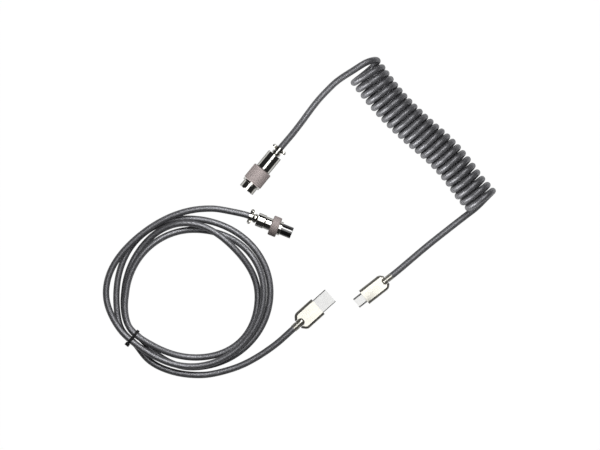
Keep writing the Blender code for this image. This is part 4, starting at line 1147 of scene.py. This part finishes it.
def case(sizes):
    """A flat USB case with a wide soft edge along its sides and rear, still without its pocket and slot."""
    edge = sizes["edge"]
    top = sizes["height"] / 2
    levels = [(edge + SUPPORT, top)]
    for k in range(CASE_EDGE_STEPS + 1):
        turn = math.pi / 2 * k / CASE_EDGE_STEPS
        out = math.sin(turn) ** CASE_EDGE_SHAPE
        up = abs(math.cos(turn)) ** CASE_EDGE_SHAPE
        levels.append((edge * (1.0 - out), top - edge * CASE_EDGE_SLOPE * (1.0 - up)))
    bm = bmesh.new()
    rings = []
    for inset, height in levels + [(inset, -height) for inset, height in reversed(levels)]:
        rings.append([bm.verts.new((x, y, height)) for x, y in case_outline(sizes, inset)])
    for ring, following in zip(rings, rings[1:]):
        bridge(bm, ring, following)
    bm.faces.new(rings[0])
    bm.faces.new(rings[-1])
    bmesh.ops.recalc_face_normals(bm, faces=bm.faces)
    return bm


def pocket_outline(sizes):
    """The rounded outline of the pocket in the front of a USB case, at the pocket's end."""
    corner = sizes["pocket_round"]
    across = sizes["pocket_width"] / 2 - corner
    up = sizes["pocket_height"] / 2 - corner
    points = []
    for quarter, (y, z) in enumerate(((across, up), (-across, up), (-across, -up), (across, -up))):
        first = quarter * math.pi / 2
        points += arc(corner, first, first + math.pi / 2, CORNER_STEPS, (y, z))
    return [(-sizes["pocket_depth"], y, z) for y, z in points]


def slot_outline(sizes, height):
    """The outline of the slot for the collar in the rear of a USB case, at a height."""
    radius = sizes["slot"] / 2
    rear = -sizes["length"] - CUT_PAST
    points = arc(radius, math.pi / 2, -math.pi / 2, JAW_STEPS, (sizes["slot_end"] - radius, 0.0))
    return [(x, y, height) for x, y in points + [(rear, -radius), (rear, radius)]]


def case_cuts(sizes):
    """A USB case's pocket and slot as one tool."""
    bm = bmesh.new()
    low = -sizes["height"] / 2 - CUT_PAST
    add_prism(bm, pocket_outline(sizes), (sizes["pocket_depth"] + CUT_PAST, 0.0, 0.0))
    add_prism(bm, slot_outline(sizes, low), (0.0, 0.0, -2 * low))
    bmesh.ops.recalc_face_normals(bm, faces=bm.faces)
    return bm


# The whole object


def add_connectors(nodes, slots):
    """Finer pieces in the place of most of the connectors' outer solids; gives them by the solids' names."""
    made = {
        "plug_backshell": (backshell(PLUG_BARREL), PLUG, "chrome"),
        "plug_clamp_saddle": (saddle(PLUG_BARREL), PLUG, "chrome"),
        "plug_front_shell": (front_shell(), PLUG, "chrome"),
        "plug_insert": (insert(), PLUG, "black_plastic"),
        "coupling_nut": (nut(), PLUG, "satin_grip"),
        "socket_backshell": (backshell(SOCKET_BARREL, socket_groove()), SOCKET, "chrome"),
        "socket_clamp_saddle": (saddle(SOCKET_BARREL), SOCKET, "chrome"),
        "socket_sleeve": (sleeve(), SOCKET, "satin_grip"),
        "socket_tube": (tube(), SOCKET, "chrome"),
        "usb_a_case": (case(USB_A_CASE), USB_A, "case_metal"),
        "usb_a_collar": (collar(USB_A_COLLAR), USB_A, "case_metal"),
        "usb_c_case": (case(USB_C_CASE), USB_C, "case_metal"),
        "usb_c_collar": (collar(USB_C_COLLAR), USB_C, "case_metal"),
    }
    tools = {
        "plug_insert": pole_holes(),
        "usb_a_case": case_cuts(USB_A_CASE),
        "usb_c_case": case_cuts(USB_C_CASE),
    }
    for name, place, barrel in (("plug", PLUG, PLUG_BARREL), ("socket", SOCKET, SOCKET_BARREL)):
        for number, side in enumerate((-1, 1), start=1):
            node = f"{name}_clamp_screw_{number}"
            made[node] = (screw(barrel, side), place, "chrome")
            tools[node] = screw_slot(barrel, side)
    pieces = {}
    for node, (bm, place, slot) in made.items():
        piece = settled(node + "_look", bm, place, slots[slot])
        if node in tools:
            cut(piece, settled("tool", tools[node], place, slots[slot]))
        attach(piece, body_of(nodes[node])[0])
        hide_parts(node)
        pieces[node] = piece
    return pieces


def add_host_cable(material):
    """The host cable, one smooth tube from connector to connector."""
    route = host_route()
    mesh, length = tube_mesh("host_cable", route)
    host = add_object("host_cable", mesh, material)
    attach(host, "host_half")
    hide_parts("plug_lead", "host_loops", "usb_a_lead")
    return host


def add_keyboard_cable(material):
    """The keyboard cable, one smooth tube from connector to connector, which stretches along its coil."""
    route = keyboard_route()
    mesh, length = tube_mesh("keyboard_cable", route)
    coiled = add_object("keyboard_cable", mesh, material)
    start, along, _ = coil_frame()
    end = start + along * (COIL_LENGTH - COIL_HELD)
    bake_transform(coiled, "keyboard_half", "usb_c_end", start=start * MM, end=end * MM)
    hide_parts("socket_lead", "coil", "usb_c_lead")
    return coiled


# Studio


def floor_material():
    """White to the camera with a faint shadow; in the metal's reflections it fades with distance and is
    darkened close under a piece with painted shadow.
    """
    n = Nodes("floor")
    rays = n.add("ShaderNodeLightPath")
    mirrored = n.math("MAXIMUM", rays.outputs["Is Glossy Ray"], rays.outputs["Is Transmission Ray"])
    colour = n.mix(rays.outputs["Is Diffuse Ray"], FLOOR_SEEN, FLOOR_WHITE)
    n.surface(base_color=colour, roughness=FLOOR_ROUGHNESS)
    n.shader.inputs["Specular IOR Level"].default_value = 0.0
    fade = n.range(rays.outputs["Ray Length"], *FLOOR_FADE, smooth=True)
    # Painted shadow: the floor's glow in reflections is dimmed for short rays, close under a piece
    near = n.math("MULTIPLY", fade, n.range(rays.outputs["Ray Length"], *FLOOR_PAINTED_SHADOW))
    seen = n.math("MULTIPLY", rays.outputs["Is Camera Ray"], FLOOR_GLOW)
    glow = n.add("ShaderNodeEmission")
    n.link(n.math("MULTIPLY_ADD", mirrored, near, seen), glow.inputs["Strength"])
    both = n.add("ShaderNodeAddShader")
    n.link(n.shader.outputs[0], both.inputs[0])
    n.link(glow.outputs[0], both.inputs[1])
    n.link(both.outputs[0], n.tree.nodes["Material Output"].inputs["Surface"])
    return n.material


def add_floor():
    """A plain white surface under the object."""
    bm = bmesh.new()
    bmesh.ops.create_grid(bm, x_segments=1, y_segments=1, size=FLOOR_REACH)
    floor = add_object("floor", as_mesh("floor", bm), floor_material())
    floor.location.z = -FLOOR_DROP


def add_lamp(name, direction, width, power, lit):
    """A round soft lamp in a direction from the object; with pieces given, it lights only those."""
    lamp = bpy.data.lights.new(name, "AREA")
    lamp.shape = "DISK"
    lamp.size = width
    lamp.energy = power
    light = bpy.data.objects.new(name, lamp)
    way = Vector(direction).normalized()
    light.location = Vector((*VIEW_MIDDLE, 0.0)) * MM + way * LAMP_DISTANCE
    light.rotation_euler = way.to_track_quat("Z", "Y").to_euler()
    bpy.context.collection.objects.link(light)
    if lit:
        group = bpy.data.collections.new(name)
        for piece in lit:
            group.objects.link(piece)
        light.light_linking.receiver_collection = group


def add_light(halves):
    """A soft lamp overhead, soft lamps for each half, and a dim room."""
    for name, (direction, width, power, half) in LAMPS.items():
        add_lamp(name, direction, width, power, halves.get(half, ()))
    world = bpy.data.worlds.new("room")
    world.use_nodes = True
    background = world.node_tree.nodes["Background"]
    background.inputs["Color"].default_value = (1.0, 1.0, 1.0, 1.0)
    background.inputs["Strength"].default_value = ROOM_LIGHT
    bpy.context.scene.world = world


def by_half(nodes, pieces):
    """All that shows, sorted into the host half and the keyboard half."""
    halves = {"host_half": [], "keyboard_half": []}
    for obj in [*nodes.values(), *pieces]:
        bodies = body_of(obj) or []
        far = "keyboard_half" in bodies or "usb_c_end" in bodies
        halves["keyboard_half" if far else "host_half"].append(obj)
    return halves


def add_camera():
    """Straight down on the middle of the picture."""
    data = bpy.data.cameras.new("camera")
    data.sensor_width = SENSOR_WIDTH
    data.lens = SENSOR_WIDTH * VIEW_HEIGHT / VIEW_WIDTH
    data.clip_end = VIEW_REACH
    camera = bpy.data.objects.new("camera", data)
    camera.location = (VIEW_MIDDLE[0] * MM, VIEW_MIDDLE[1] * MM, VIEW_HEIGHT * MM)
    bpy.context.collection.objects.link(camera)
    bpy.context.scene.camera = camera


def main():
    """Dress the solids, light them, and set the camera above them."""
    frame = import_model()
    bpy.context.scene.view_settings.view_transform = "Standard"
    nodes = frame["nodes"]
    slots = finishes()
    paint(nodes, frame["record"], slots)
    finer = add_connectors(nodes, slots)
    braid = braid_material()
    cables = [add_host_cable(braid), add_keyboard_cable(braid)]
    add_floor()
    add_light(by_half(nodes, [*finer.values(), *cables]))
    add_camera()


main()
